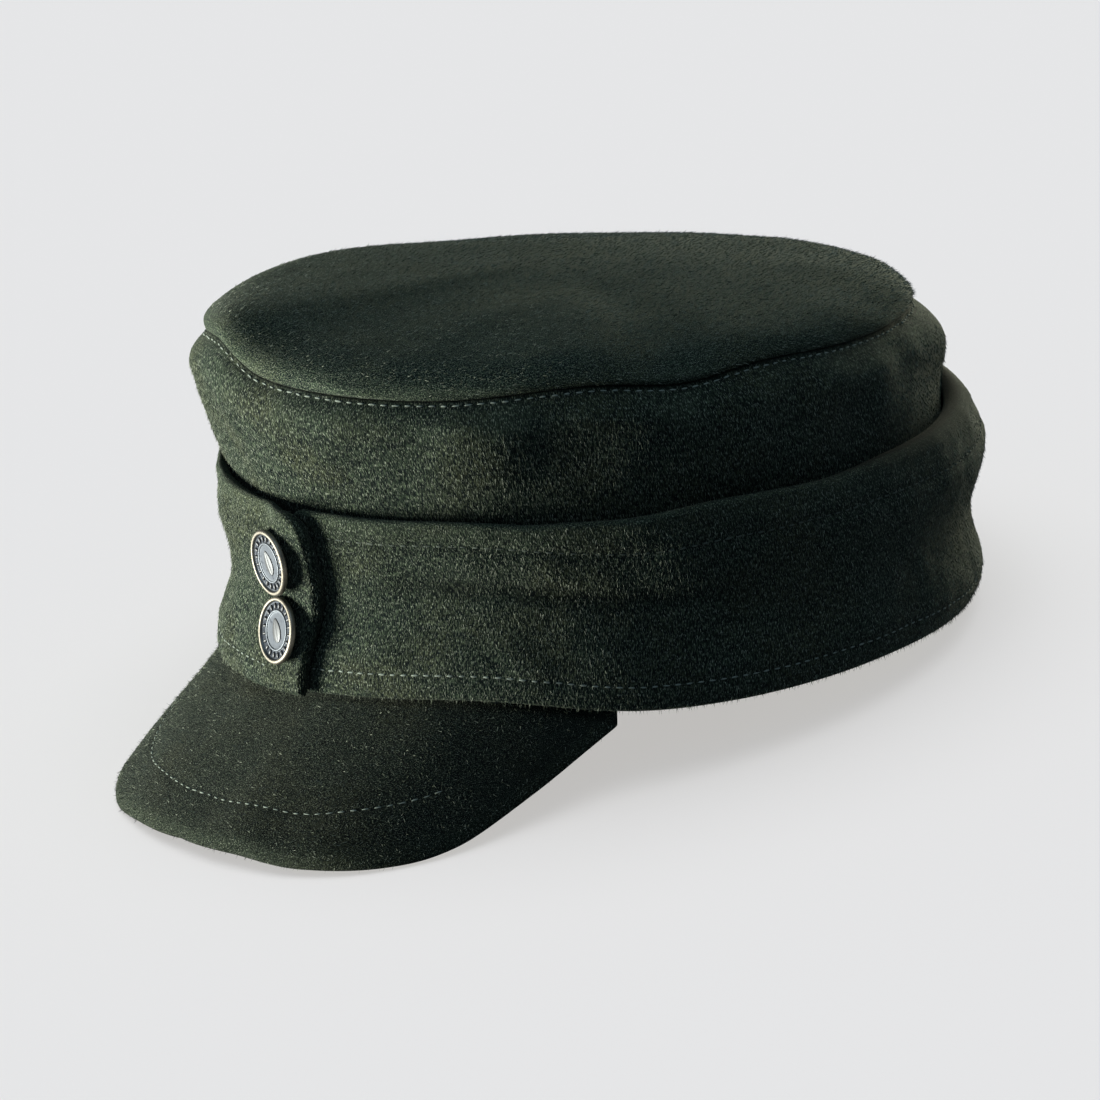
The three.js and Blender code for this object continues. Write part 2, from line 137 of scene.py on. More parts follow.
# Lamps on the cap: azimuth and height in degrees, distance and width in metres, power in watts, and colour.
LAMPS = (
    ("key", -34, -11, 1.7, 0.85, 142, (1.0, 0.98, 0.92)),
    ("rim", 203, 10, 1.5, 1.1, 34, (1.0, 0.99, 0.74)),
    ("fill", 40, 62, 1.5, 0.9, 8, (0.6, 0.78, 1.0)),
)
LAMP_TARGET = (0, 0, 0.06)
FLOOR_SUNS = {"overhead": 0.8, "floor_wash": 1.96}
SUN_PLACE, SUN_WIDTH = (0, 0, 3), 1.2
FLOOR_RADIUS = 6.0
STUDIO_COLOUR, STUDIO_STRENGTH = (0.5, 0.7, 1.0, 1.0), 0.15

CAMERA_AZIMUTH = np.radians(50.0)
CAMERA_HEIGHT = np.radians(16.2)
CAMERA_ROLL = np.radians(-1.24)
CAMERA_DISTANCE = 1.2
CAMERA_LENS = 147.7
PHOTO_WIDTH = 1100
RIM_MIDDLE_X = 600.3
RIM_MIDDLE_Y = 601.8


def table(columns, *rows):
    """A short table as one array for each named column."""
    return {name: np.array(values, float) for name, values in zip(columns.split(), zip(*rows))}


# Side of the crown from the rim up: shares of the tuck, of the way forward and of the curtain's pull.
SIDE_LEVELS = table(
    "up tuck lean pull",
    (0.0, 0.0, 0.0, 0.0),
    (0.13, 0.08, -0.04, 0.5),
    (0.28, 0.2, -0.08, 1.0),
    (0.45, 0.32, 0.1, 0.5),
    (0.6, 0.35, 0.38, 0.0),
    (0.74, 0.07, 0.6, 0.0),
    (0.86, -0.16, 0.78, 0.0),
    (0.93, 0.02, 0.9, 0.0),
    (1.0, 1.0, 1.0, 0.0),
)

# Soft forms on the side, in degrees and mm: where the middle lies round the cap and under the seam, half of
# the width and of the height, and how far it stands out.
SIDE_FORMS = table(
    "angle down wide high out",
    (-14, 16, 13, 9, 0.9),
    (42, 13, 9, 9, 1.3),
    (57, 16, 9, 13, -1.2),
    (84, 20, 10, 10, 0.8),
    (117, 9, 8, 7, -2.4),
    (139, 9, 9, 9, 1.7),
    (200, 18, 16, 12, 0.9),
    (255, 14, 14, 10, -1.0),
    (300, 18, 12, 11, 0.9),
)

# Top of the crown from the seam to its middle: shares of the seam's plan and of the top's rise.
TOP_LEVELS = table(
    "reach rise",
    (1.0, 0.0),
    (1.009, 0.16),
    (0.999, 0.38),
    (0.966, 0.6),
    (0.9, 0.78),
    (0.77, 0.91),
    (0.55, 0.98),
    (0.28, 1.0),
    (0.0, 1.0),
)

# Dents in the top: where the middle lies as an angle and a share of the plan, width as a share of the head's,
# and depth as a share of the top's rise.
TOP_DENTS = table(
    "angle reach width depth",
    (6, 0.7, 0.14, 0.12),
    (92, 0.8, 0.12, 0.14),
    (200, 0.55, 0.2, 0.1),
)

# Round the cap: rim and seam as shares of the seam's height, and the curtain's pull on the side.
WAVES = table(
    "angle rim seam pull",
    (0, -0.015, 0.955, 0.2),
    (18, 0.01, 0.935, 0.1),
    (38, 0.025, 0.935, 0.1),
    (60, -0.022, 0.965, 0.1),
    (74, -0.025, 0.945, 0.1),
    (88, -0.015, 0.975, 0.1),
    (106, 0.0, 0.965, 0.1),
    (140, 0.0, 0.955, 0.35),
    (180, 0.0, 0.925, 0.3),
    (240, 0.0, 0.905, 0.3),
    (290, 0.0, 0.97, 0.7),
    (322, 0.005, 0.98, 1.0),
    (345, -0.015, 1.02, 0.6),
)

# The curtain round the crown: its height, and how far it stands off at its foot, waist, lip and edge.
CURTAIN_STATIONS = table(
    "angle height foot waist lip edge",
    (0, 0.98, 0.1, 0.0, 0.1, 0.1),
    (30, 0.94, 0.1, 0.0, 0.15, 0.25),
    (60, 0.96, 0.1, 0.0, 0.3, 0.5),
    (75, 1.0, 0.15, 0.05, 0.55, 0.6),
    (100, 1.0, 0.2, 0.1, 0.6, 0.45),
    (125, 1.02, 0.42, 0.08, 1.0, 0.6),
    (150, 1.06, 0.45, 0.1, 1.15, 0.65),
    (180, 1.06, 0.4, 0.2, 1.0, 0.65),
    (225, 1.02, 0.3, 0.1, 0.6, 0.5),
    (270, 1.0, 0.2, 0.05, 0.4, 0.4),
    (310, 0.97, 0.2, 0.0, 0.1, 0.0),
    (335, 0.98, 0.15, 0.0, 0.05, 0.0),
)
CURTAIN_HEIGHTS = (0.0, 0.12, 0.45, 0.79, 1.0)

# How far the curtain's upper edge waves up and down, as a share of its height.
CURTAIN_EDGE = table(
    "angle raise",
    (0, -0.01),
    (14, -0.024),
    (45, -0.024),
    (54, 0.012),
    (68, 0.04),
    (78, 0.04),
    (93, 0.004),
    (111, 0.004),
    (150, 0.0),
    (200, 0.015),
    (250, -0.012),
    (300, 0.01),
)

# Length of the peak forward of each point of the rim, as a share of its length along the middle.
PEAK_OUTLINE = table(
    "at length",
    (0.0, 1.0),
    (0.25, 1.04),
    (0.5, 1.11),
    (0.71, 1.075),
    (0.85, 0.89),
    (0.93, 0.51),
    (0.98, 0.18),
    (1.0, 0.05),
)

# Face of a button from its middle to its back: shares of its radius and of its thickness.
BUTTON_FACE = table(
    "out deep",
    (0.0, 0.3),
    (0.5, 0.32),
    (0.56, 0.2),
    (0.6, 0.2),
    (0.64, 0.36),
    (0.83, 0.34),
    (0.88, 0.04),
    (0.94, 0.0),
    (0.985, 0.12),
    (1.0, 0.35),
    (0.98, 0.62),
    (0.85, 0.8),
    (0.5, 0.95),
)


def curve(t, before, after, leaving, arriving):
    """A smooth curve over one span, from the values and the slopes at its ends."""
    kept = before * (1 + 2 * t) * (1 - t) ** 2 + after * t * t * (3 - 2 * t)
    return kept + leaving * t * (1 - t) ** 2 + arriving * t * t * (t - 1)


def read(rows, key, column, x, period=0.0):
    """One column of a table at x, on a smooth curve through its rows."""
    knots, values = rows[key], rows[column]
    x = np.asarray(x, float)
    if period:
        x = (x - knots[0]) % period + knots[0]
        knots = np.concatenate([knots[-1:] - period, knots, knots[:2] + period])
        values = np.concatenate([values[-1:], values, values[:2]])
    else:
        knots = np.concatenate([knots[:1], knots, knots[-1:]])
        values = np.concatenate([values[:1], values, values[-1:]])
    i = np.clip(np.searchsorted(knots, x, side="right") - 1, 1, len(knots) - 3)
    span = knots[i + 1] - knots[i]
    leaving = span * (values[i + 1] - values[i - 1]) / (knots[i + 1] - knots[i - 1])
    arriving = span * (values[i + 2] - values[i]) / (knots[i + 2] - knots[i])
    t = np.clip((x - knots[i]) / span, 0, 1)
    return curve(t, values[i], values[i + 1], leaving, arriving)


def ease(x, low, high):
    """A smooth step from 0 at low to 1 at high, which may be the lower number."""
    t = np.clip((np.asarray(x, float) - low) / (high - low), 0, 1)
    return t * t * (3 - 2 * t)


def within(x, span):
    """1 between the middle two of four numbers and 0 outside the outer two, smoothly."""
    return ease(x, *span[:2]) * (1 - ease(x, *span[2:]))


def around(rows, column, angle):
    """One column of a table at an angle round the cap."""
    return read(rows, "angle", column, np.degrees(angle), 360.0)


def ripple(place, length, seed):
    """Soft hills about one length across, between about -1 and 1, from a few waves with a fixed seed."""
    drawn = np.random.default_rng(seed)
    total = np.zeros(place.shape[:-1])
    waves = 7
    for _ in range(waves):
        way = drawn.normal(size=3)
        way *= TURN / (length * drawn.uniform(0.7, 1.5) * np.linalg.norm(way))
        total += np.sin(place @ way + drawn.uniform(0, TURN))
    return total / np.sqrt(waves)


class CapShape:
    """Surfaces of the cap in its own frame, with the rim near z = 0. Angles run from the front to the left."""

    def __init__(self, sizes):
        self.s = sizes

    def plan(self, angle):
        s = self.s
        wide = (s.head_width / 2 + s.crown_cloth) * np.sin(angle) * (1 - s.head_egg * np.cos(angle))
        return np.stack([wide, -(s.head_length / 2 + s.crown_cloth) * np.cos(angle)], -1)

    def outward(self, angle):
        step = 0.01
        along = self.plan(angle + step) - self.plan(angle - step)
        along /= np.linalg.norm(along, axis=-1, keepdims=True)
        return np.stack([along[..., 1], -along[..., 0]], -1)

    def angle_at(self, length):
        s = self.s
        return length / (s.head_width / 2 + s.crown_cloth) / (1 - s.head_egg)

    def rim(self, angle):
        return self.s.seam_height * around(WAVES, "rim", angle)

    def seam(self, angle):
        return self.s.seam_height * around(WAVES, "seam", angle)

    def side(self, angle, share, offset):
        """Point off the crown's side, a share of the way from the rim to the seam."""
        s = self.s
        angle, share, offset = np.broadcast_arrays(angle, share, offset)
        pull = read(SIDE_LEVELS, "up", "pull", share) * around(WAVES, "pull", angle)
        inward = s.crown_tuck * read(SIDE_LEVELS, "up", "tuck", share) + s.crown_pinch * pull
        flat = self.plan(angle) + self.outward(angle) * (offset - inward)[..., None]
        forward = s.crown_forward * read(SIDE_LEVELS, "up", "lean", share)
        height = self.rim(angle) * (1 - share) + self.seam(angle) * share
        return np.stack([flat[..., 0], flat[..., 1] - forward, height], -1)

    def dent_depth(self, flat):
        """Depth of the dents at places in the top's plan."""
        s = self.s
        middle = np.array([0, -s.crown_forward])
        total = np.zeros(flat.shape[:-1])
        for angle, reach, width, depth in zip(*TOP_DENTS.values()):
            rim = self.side(np.radians(angle), 1.0, 0.0)[:2]
            away = np.linalg.norm(flat - (middle + (rim - middle) * reach), axis=-1)
            total += s.top_rise * depth * np.exp(-((away / (width * s.head_width)) ** 2))
        return total

    def top(self, angle, t, depth):
        """Point of the crown's top, from the seam, 0, to the middle, 1, and how deep it lies in the cloth."""
        s = self.s
        angle, t = np.broadcast_arrays(angle, t)
        rows = dict(TOP_LEVELS, row=np.linspace(0, 1, len(TOP_LEVELS["reach"])))
        step = 0.004
        reach, further, nearer = (read(rows, "row", "reach", at) for at in (t, t + step, t - step))
        rise, higher, lower = (read(rows, "row", "rise", at) for at in (t, t + step, t - step))
        run = (s.head_length + s.head_width) / 4 * (further - nearer)
        climb = s.top_rise * (higher - lower)
        steep = np.maximum(np.hypot(run, climb), 1e-9)
        middle = np.array([0, -s.crown_forward])
        flat = middle + (self.side(angle, 1.0, 0.0)[..., :2] - middle) * reach[..., None]
        flat = flat + self.outward(angle) * (-climb / steep * depth)[..., None]
        under = np.where(t > 1 - 2 * step, -depth, run / steep * depth)
        share = np.minimum(reach, 1) ** 2
        foot = s.seam_height * (1 - share) + self.seam(angle) * share
        height = foot + (s.top_rise - self.dent_depth(flat)) * rise + under * ease(t, 0, 0.05)
        return np.stack([flat[..., 0], flat[..., 1], height], -1)

    @property
    def curtain_start(self):
        return self.angle_at(-self.s.curtain_underlap)

    @property
    def curtain_end(self):
        return TURN + self.angle_at(self.s.tab_reach)

    def curtain_height(self, angle):
        return self.s.curtain_height * around(CURTAIN_STATIONS, "height", angle)

    def curtain_cloth(self, angle):
        s = self.s
        return s.curtain_cloth + (s.tab_cloth - s.curtain_cloth) * ease(angle, TURN, self.curtain_end)

    def stand_off(self, angle, up):
        """How far the curtain's inner face stands off the crown, a share of the way up it."""
        columns = [around(CURTAIN_STATIONS, name, angle) for name in ("foot", "waist", "lip", "edge")]
        stands = [np.zeros_like(columns[0]), *columns]
        levels = CURTAIN_HEIGHTS
        total = np.zeros(np.broadcast(angle, up).shape)
        for i in range(len(levels) - 1):
            low, high = levels[i], levels[i + 1]
            before, after = max(i - 1, 0), min(i + 2, len(levels) - 1)
            leaving = (stands[i + 1] - stands[before]) / (high - levels[before]) * (high - low)
            arriving = (stands[after] - stands[i]) / (levels[after] - low) * (high - low)
            t = np.clip((up - low) / (high - low), 0, 1)
            here = (up >= low) & ((up < high) | (i == len(levels) - 2))
            total = np.where(here, curve(t, stands[i], stands[i + 1], leaving, arriving), total)
        return self.s.curtain_gap + self.s.curtain_stand * np.maximum(0, total)

    def curtain(self, angle, height, offset):
        """Point of the curtain, at a height above the rim and an offset from its inner face."""
        s = self.s
        start = self.curtain_start
        over = ease(angle, TURN + 2.6 * start, TURN + start)
        stand = self.stand_off(angle, np.clip(height / self.curtain_height(angle), 0, 1))
        away = stand + (s.curtain_cloth + s.layer_gap) * over
        return self.side(angle, height / (self.seam(angle) - self.rim(angle)), away + offset)

    def peak(self, angle, reach, depth):
        """Point of the peak, a length forward of the rim and a depth under its upper face."""
        s = self.s
        root = self.plan(angle)
        below = self.rim(angle) - s.seam_gap
        forward = np.maximum(reach, 0) * np.cos(s.peak_slope)
        down = np.maximum(reach, 0) * np.sin(s.peak_slope)
        tucked = root + self.outward(angle) * np.minimum(reach, 0)[..., None]
        return np.stack([tucked[..., 0], tucked[..., 1] - forward, below - down - depth], -1)

    def peak_length(self, share):
        return self.s.peak_length * read(PEAK_OUTLINE, "at", "length", np.abs(share))


class Standing:
    """Turns the cap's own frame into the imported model's, which stands on its peak and the back of its rim."""

    def __init__(self, sizes):
        self.tilt = sizes.rest_tilt
        self.shift = np.array(sizes.rest_shift)

    def turn(self, vectors):
        c, s = np.cos(self.tilt), np.sin(self.tilt)
        x, y, z = np.moveaxis(np.asarray(vectors, float), -1, 0)
        return np.stack([x, c * y - s * z, s * y + c * z], -1)

    def place(self, points):
        world = self.turn(points) - self.shift
        world[..., 2] = np.maximum(world[..., 2], 0.0)
        return world


def length(name, text, value):
    look = {"unit": "LENGTH", "subtype": "DISTANCE", "precision": 5}
    return FloatProperty(name=name, description=text, default=value * MM, **look)


def share(name, text, value):
    return FloatProperty(name=name, description=text, default=value, subtype="FACTOR", min=0, max=1)


def angle(name, text, value):
    return FloatProperty(name=name, description=text, default=np.radians(value), subtype="ANGLE")


def colour(name, text, value):
    look = {"subtype": "COLOR", "size": 3, "min": 0, "max": 1}
    return FloatVectorProperty(name=name, description=text, default=value, **look)


class CapSizes(bpy.types.PropertyGroup):
    """Sizes of the cap."""

    head_length: length("Head Length", "Head opening, front to back", 197)
    head_width: length("Head Width", "Head opening, side to side", 168)
    head_egg: share("Egg", "Share by which the opening is narrower in front than an ellipse", 0.035)
    crown_cloth: length("Crown Cloth", "Wall of the side and of the top", 2.5)
    crown_tuck: length("Tuck", "How far the side bends in to the top seam", 4.5)
    crown_pinch: length("Pinch", "The most that the curtain pulls the side in", 4)
    crown_forward: length("Forward", "How far forward the top seam lies", 12)
    seam_height: length("Seam Height", "Top seam above the rim", 84)
    top_rise: length("Top Rise", "Middle of the top above its seam", 9.5)
    seam_gap: length("Seam Gap", "Between two pieces that are sewn together", 0.3)
    curtain_height: length("Curtain Height", "Height of the curtain", 51)
    curtain_cloth: length("Curtain Cloth", "Two layers of cloth, sewn together", 3)
    curtain_stand: length("Curtain Stand", "How far its lip stands off the crown at the back", 6.2)
    curtain_gap: length("Curtain Gap", "The least between the curtain and the crown", 0.5)
    curtain_underlap: length("Underlap", "Hidden end of the curtain under the tab", 24)
    tab_reach: length("Tab Reach", "Length of the tab from the middle of the front", 15.5)
    tab_corner: length("Tab Corner", "Radius of the tab's upper corner", 5.5)
    tab_recede: length("Tab Recede", "How far the tab's lower corner lies behind its end", 5)
    tab_cloth: length("Tab Cloth", "Thickness of the tab near its end", 4.4)
    layer_gap: length("Layer Gap", "Air between the tab and the cloth under it", 0.8)
    peak_length: length("Peak Length", "From the rim to the front edge", 47)
    peak_slope: angle("Peak Slope", "Fall of the peak", 37.6)
    peak_spread: angle("Peak Spread", "From the middle of the front to either end of the peak", 57)
    peak_cloth: length("Peak Cloth", "Cloth on both faces of a stiff core", 4)
    peak_root: length("Peak Root", "Width that is sewn in under the crown's wall", 5)
    button_width: length("Button Width", "Width of a button", 17)
    button_thick: length("Button Thickness", "Thickness of a button", 2.2)
    button_spacing: length("Button Spacing", "Between the middles of the two buttons", 18.2)
    button_offset: length("Button Offset", "From the middle of the front to the left", 3.5)
    button_drop: length("Button Drop", "Middle of the pair below the curtain's upper edge", 24.2)
    button_stand: length("Button Stand", "Air between a button and the tab", 1)
    shank_width: length("Shank Width", "Width of a button's shank", 3)
    lean_upper: angle("Upper Lean", "How far the upper button leans to the right on its shank", 10)
    tip_upper: angle("Upper Tip", "How far the upper button faces upwards on its shank", 9)
    lean_lower: angle("Lower Lean", "How far the lower button leans to the right on its shank", 9)
    rest_tilt: angle("Tilt", "How far the cap leans forward where it stands", -8.7395)
    rest_shift: FloatVectorProperty(
        name="Place",
        description="Where the cap's own frame lies in the packed model",
        default=(0.000227, -0.015525, -0.015248),
        subtype="TRANSLATION",
    )
    stitch_pitch: length("Stitch Pitch", "From one stitch to the next", 3.0)
    stitch_length: length("Stitch Length", "Length of thread that shows", 1.9)
    stitch_width: length("Stitch Width", "Thickness of the thread", 0.5)
    nap_length: length("Nap Length", "Length of a loose fibre", 0.95)
    nap_width: length("Nap Width", "Thickness of a loose fibre", 0.15)
    nap_density: FloatProperty(name="Nap Density", description="Fibres on a square millimetre", default=1.35)


class CapColours(bpy.types.PropertyGroup):
    """Colours of the cap and its stage."""

    wool: colour("Wool", "Main colour of the cloth", (0.017, 0.027, 0.017))
    wool_dark: colour("Dark Wool", "Between the fibres", (0.002, 0.005, 0.0045))
    wool_light: colour("Light Wool", "Fibres that catch the light", (0.09, 0.118, 0.07))
    fleck: colour("Fleck", "The palest fibres", (0.29, 0.33, 0.24))
    wool_warm: colour("Warm Wool", "Brown shade in patches", (0.03, 0.03, 0.013))
    fibre: colour("Fibre", "Loose fibres", (0.075, 0.09, 0.062))
    fibre_light: colour("Light Fibre", "The palest loose fibres", (0.2, 0.225, 0.17))
    thread: colour("Thread", "Sewing thread", (0.13, 0.155, 0.125))
    quiet_thread: colour("Quiet Thread", "Thread that is nearly of the cloth's shade", (0.045, 0.058, 0.045))
    silver: colour("Silver", "Worn metal of the buttons", (0.088, 0.1, 0.108))
    relief: colour("Relief", "Metal of the raised bars and the leaf", (0.06, 0.064, 0.064))
    tarnish: colour("Tarnish", "Dark metal in the hollows", (0.02, 0.024, 0.03))
    brass: colour("Brass", "Warm metal where the plating is thin", (0.16, 0.145, 0.105))
    floor: colour("Floor", "Table under the cap", (0.825, 0.805, 0.78))


def shell(name, points, u, v, material, marks=None, ring=True, bare=()):
    """A closed skin over columns of closed sections, with coordinates u for columns and v along a section.
    Points that fall together are merged. bare names the strips that are left out between two poles."""
    columns, rows = points.shape[:2]
    across = columns if ring else columns - 1
    i, j = np.meshgrid(np.arange(across), [j for j in range(rows) if j not in bare], indexing="ij")
    i, j = i.ravel(), j.ravel()
    i2, j2 = (i + 1) % columns, (j + 1) % rows
    faces = np.stack([i * rows + j, i2 * rows + j, i2 * rows + j2, i * rows + j2], -1)
    mesh = bpy.data.meshes.new(name)
    mesh.from_pydata(points.reshape(-1, 3), [], faces.tolist())
    flat = np.stack([u[i], v[j], u[i + 1], v[j], u[i + 1], v[j + 1], u[i], v[j + 1]], -1)
    layer = mesh.uv_layers.new(name=CLOTH_UV)
    layer.data.foreach_set("uv", flat.ravel().astype(np.float32))
    for mark, values in (marks or {}).items():
        vector = values.ndim == 3
        attribute = mesh.attributes.new(mark, "FLOAT_VECTOR" if vector else "FLOAT", "POINT")
        attribute.data.foreach_set("vector" if vector else "value", values.ravel().astype(np.float32))
    made = bmesh.new()
    made.from_mesh(mesh)
    bmesh.ops.remove_doubles(made, verts=made.verts, dist=1e-6)
    bmesh.ops.dissolve_degenerate(made, edges=made.edges, dist=1e-7)
    bmesh.ops.recalc_face_normals(made, faces=made.faces)
    made.to_mesh(mesh)
    made.free()
    mesh.polygons.foreach_set("use_smooth", [True] * len(mesh.polygons))
    mesh.materials.append(material)
    return mesh


def show(name, mesh, slot, *stands_for):
    """Puts a mesh in the scene as a finished piece."""
    piece = bpy.data.objects.new(name, mesh)
    bpy.context.scene.collection.objects.link(piece)
    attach(piece, BODY)
    if stands_for:
        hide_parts(*stands_for)


def walk(points):
    """Distance walked along a row of points."""
    return np.concatenate([[0], np.cumsum(np.linalg.norm(np.diff(points, axis=0), axis=-1))])


def bell(x, middle, width):
    """A soft bump, which is 1 in its middle."""
    return np.exp(-(((x - middle) / width) ** 2))


class Nodes:
    """Adds nodes to a tree, with their settings first and then the values or links of their sockets."""

    def __init__(self, tree):
        self.tree = tree

    def node(self, kind, settings=None, sockets=None):
        made = self.tree.nodes.new(kind)
        for key, value in (settings or {}).items():
            setattr(made, key, value)
        for key, value in (sockets or {}).items():
            if isinstance(value, Wire):
                value = value.socket
            if isinstance(value, bpy.types.NodeSocket):
                self.tree.links.new(value, made.inputs[key])
            else:
                made.inputs[key].default_value = value
        return made

    def wire(self, kind, settings=None, sockets=None, out=0):
        return Wire(self, self.node(kind, settings, sockets).outputs[out])

    def mix(self, a, b, factor):
        """Mixes two colours."""
        ends = [end if isinstance(end, Wire) else (*end, 1.0) for end in (a, b)]
        return self.wire("ShaderNodeMix", {"data_type": "RGBA"}, {0: factor, 6: ends[0], 7: ends[1]}, 2)

    def vector(self, operation, a, b):
        """Vector arithmetic, in which b is a number for SCALE."""
        second = "Scale" if operation == "SCALE" else 1
        return self.wire("ShaderNodeVectorMath", {"operation": operation}, {0: a, second: b})

    def noise(self, place, scales, detail, roughness):
        """Cloudy noise over a place, once that is scaled by one number or by three."""
        scales = scales if isinstance(scales, tuple) else (scales,) * 3
        sockets = {"Vector": self.vector("MULTIPLY", place, scales), "Scale": 1.0}
        return self.wire("ShaderNodeTexNoise", None, {**sockets, "Detail": detail, "Roughness": roughness})

    def mark(self, name):
        return self.wire("ShaderNodeAttribute", {"attribute_name": name}, None, "Fac")

    def carried(self, name, kind="FLOAT_VECTOR"):
        """What the points of a geometry carry under a name."""
        return self.wire("GeometryNodeInputNamedAttribute", {"data_type": kind}, {"Name": name})

    def drawn(self, low, high, seed):
        """A random vector for each point."""
        sockets = {0: low, 1: high, "Seed": seed}
        return self.wire("FunctionNodeRandomValue", {"data_type": "FLOAT_VECTOR"}, sockets)

    def facing(self, first, second, axes="XZ"):
        """A turn that lays the two named axes along two vectors."""
        settings = {"primary_axis": axes[0], "secondary_axis": axes[1]}
        sockets = {"Primary Axis": first, "Secondary Axis": second}
        return self.wire("FunctionNodeAxesToRotation", settings, sockets)

    def copies(self, points, thing, turn, size):
        """A real copy of a thing on each point."""
        sockets = {"Points": points, "Instance": thing, "Rotation": turn, "Scale": size}
        placed = self.wire("GeometryNodeInstanceOnPoints", None, sockets)
        return self.wire("GeometryNodeRealizeInstances", None, {"Geometry": placed})

    def smooth(self, geometry):
        return self.wire("GeometryNodeSetShadeSmooth", None, {"Geometry": geometry})

    def dyed(self, geometry, material, **chosen):
        sockets = {"Geometry": geometry, "Material": material, **chosen}
        return self.wire("GeometryNodeSetMaterial", None, sockets)

    def end(self, geometry):
        """Ends a geometry tree and returns it."""
        self.node("NodeGroupOutput", None, {"Geometry": geometry})
        return self.tree


class Wire:
    """A socket that carries a number: Python's operators on it add Math nodes."""

    def __init__(self, nodes, socket):
        self.nodes = nodes
        self.socket = socket

    def math(self, operation, *values, clamp=False):
        sockets = dict(enumerate(values))
        return self.nodes.wire("ShaderNodeMath", {"operation": operation, "use_clamp": clamp}, sockets)

    def __add__(self, other):
        return self.math("ADD", self, other)

    def __mul__(self, other):
        return self.math("MULTIPLY", self, other)

    __radd__ = __add__

    def clipped(self):
        return self.math("ADD", self, 0.0, clamp=True)

    def between(self, low, high):
        """0 at low and 1 at high, smoothly."""
        sockets = {"Value": self, "From Min": low, "From Max": high}
        return self.nodes.wire("ShaderNodeMapRange", {"interpolation_type": "SMOOTHSTEP"}, sockets)


def new_finish(name):
    material = bpy.data.materials.new(name)
    material.use_nodes = True
    material.node_tree.nodes.clear()
    return material, Nodes(material.node_tree)


def surface(nodes, sockets):
    """Ends a material in its surface shader."""
    shader = nodes.node("ShaderNodeBsdfPrincipled", None, sockets)
    nodes.node("ShaderNodeOutputMaterial", None, {"Surface": shader.outputs[0]})


def cloth_finish(name, colours, nap_width, nap_run, depth, rough):
    """Milled wool: light flecks, nap_width by nap_run, on a dark ground with paler and browner patches, with
    painted shade in seams, creases and other shaded places, and paler edges that are partly wear and partly a
    painted highlight.
    """
    material, nodes = new_finish(name)
    cloth = nodes.wire("ShaderNodeUVMap", {"uv_map": CLOTH_UV})
    place = nodes.wire("ShaderNodeTexCoord", None, None, "Object")
    grain = nodes.noise(cloth, (1 / nap_width, 1 / nap_run, 0), 2.0, 0.6)
    flecks = nodes.noise(cloth, (1.7 / nap_width, 1.7 / nap_run, 0), 1.0, 0.5)
    clumps = nodes.noise(place, 1 / (2.2 * MM), 3.0, 0.6)
    patches = nodes.noise(place, 1 / (20 * MM), 2.0, 0.5)
    painted_shade, wear_and_highlight = nodes.mark("painted_shade"), nodes.mark("wear_and_highlight")
    shade = (grain * 0.75 + clumps * 0.25).between(0.44, 0.57)
    # Paler on raised edges and puffs: partly wear, partly a painted highlight where they catch the light.
    pale = (grain.between(0.54, 0.65) * 0.5 * depth + wear_and_highlight * 0.2).clipped()
    body = nodes.mix(colours.wool_dark, colours.wool, shade)
    body = nodes.mix(body, colours.wool_warm, patches.between(0.42, 0.66) * 0.6 * shade)
    # Darkens the whole cloth toward black by 1 - depth; for the peak this is painted shade, a darker copy of
    # the wool.
    body = nodes.mix(body, (0.0, 0.0, 0.0), 1 - depth)
    body = nodes.mix(body, colours.wool_light, pale)
    body = nodes.mix(body, colours.fleck, flecks.between(0.6, 0.69) * (0.2 + 0.42 * depth))
    # Painted shade: darkens the cloth in seams, creases, along stitch rows, on the curtain's inner face and
    # lip, and at the peak's root.
    body = nodes.mix(body, [0.4 * c for c in colours.wool_dark], (painted_shade * 0.7).clipped())
    height = grain * 0.8 + clumps * 0.5 + flecks * 0.4
    bump = nodes.wire("ShaderNodeBump", None, {"Height": height, "Strength": rough, "Distance": 0.4 * MM})
    look = {"Roughness": 0.92, "Specular IOR Level": 0.05}
    sheen = {"Sheen Weight": 0.035, "Sheen Roughness": 0.45, "Sheen Tint": (0.75, 0.85, 0.7, 1.0)}
    surface(nodes, {"Base Color": body, "Normal": bump, **look, **sheen})
    return material


def plain_finish(name, colour, sockets=None):
    """One even colour, for what is too small to carry a pattern."""
    material, nodes = new_finish(name)
    look = {"Base Color": (*colour, 1.0), "Roughness": 0.85, "Specular IOR Level": 0.2}
    surface(nodes, {**look, **(sockets or {})})
    return material


def metal_finish(colours):
    """Worn silver with dark hollows and a warm rim."""
    material, nodes = new_finish("worn_silver")
    place = nodes.wire("ShaderNodeTexCoord", None, None, "Object")
    stains = nodes.noise(place, 1 / (1.6 * MM), 4.0, 0.6)
    scratches = nodes.noise(place, 1 / (0.35 * MM), 2.0, 0.5)
    hollow, rim = nodes.mark("hollow"), nodes.mark("rim")
    body = nodes.mix(colours.silver, colours.brass, (rim * (0.5 + stains * 0.5)).clipped())
    dark = (hollow * 0.9 + stains.between(0.52, 0.75) * 0.45).clipped()
    body = nodes.mix(body, colours.tarnish, dark)
    height = {"Height": scratches + stains, "Strength": 0.25, "Distance": 0.1 * MM}
    bump = nodes.wire("ShaderNodeBump", None, height)
    rough = 0.46 + dark * 0.25 + scratches * 0.12
    surface(nodes, {"Base Color": body, "Metallic": 1.0, "Roughness": rough, "Normal": bump})
    return material


def new_tree(name, **inputs):
    """A geometry tree with named inputs, as what adds its nodes and the sockets of its inputs."""
    tree = bpy.data.node_groups.new(name, "GeometryNodeTree")
    for key, kind in {"Geometry": "Geometry", **inputs}.items():
        tree.interface.new_socket(key, in_out="INPUT", socket_type="NodeSocket" + kind)
    tree.interface.new_socket("Geometry", in_out="OUTPUT", socket_type="NodeSocketGeometry")
    return Nodes(tree), tree.nodes.new("NodeGroupInput").outputs


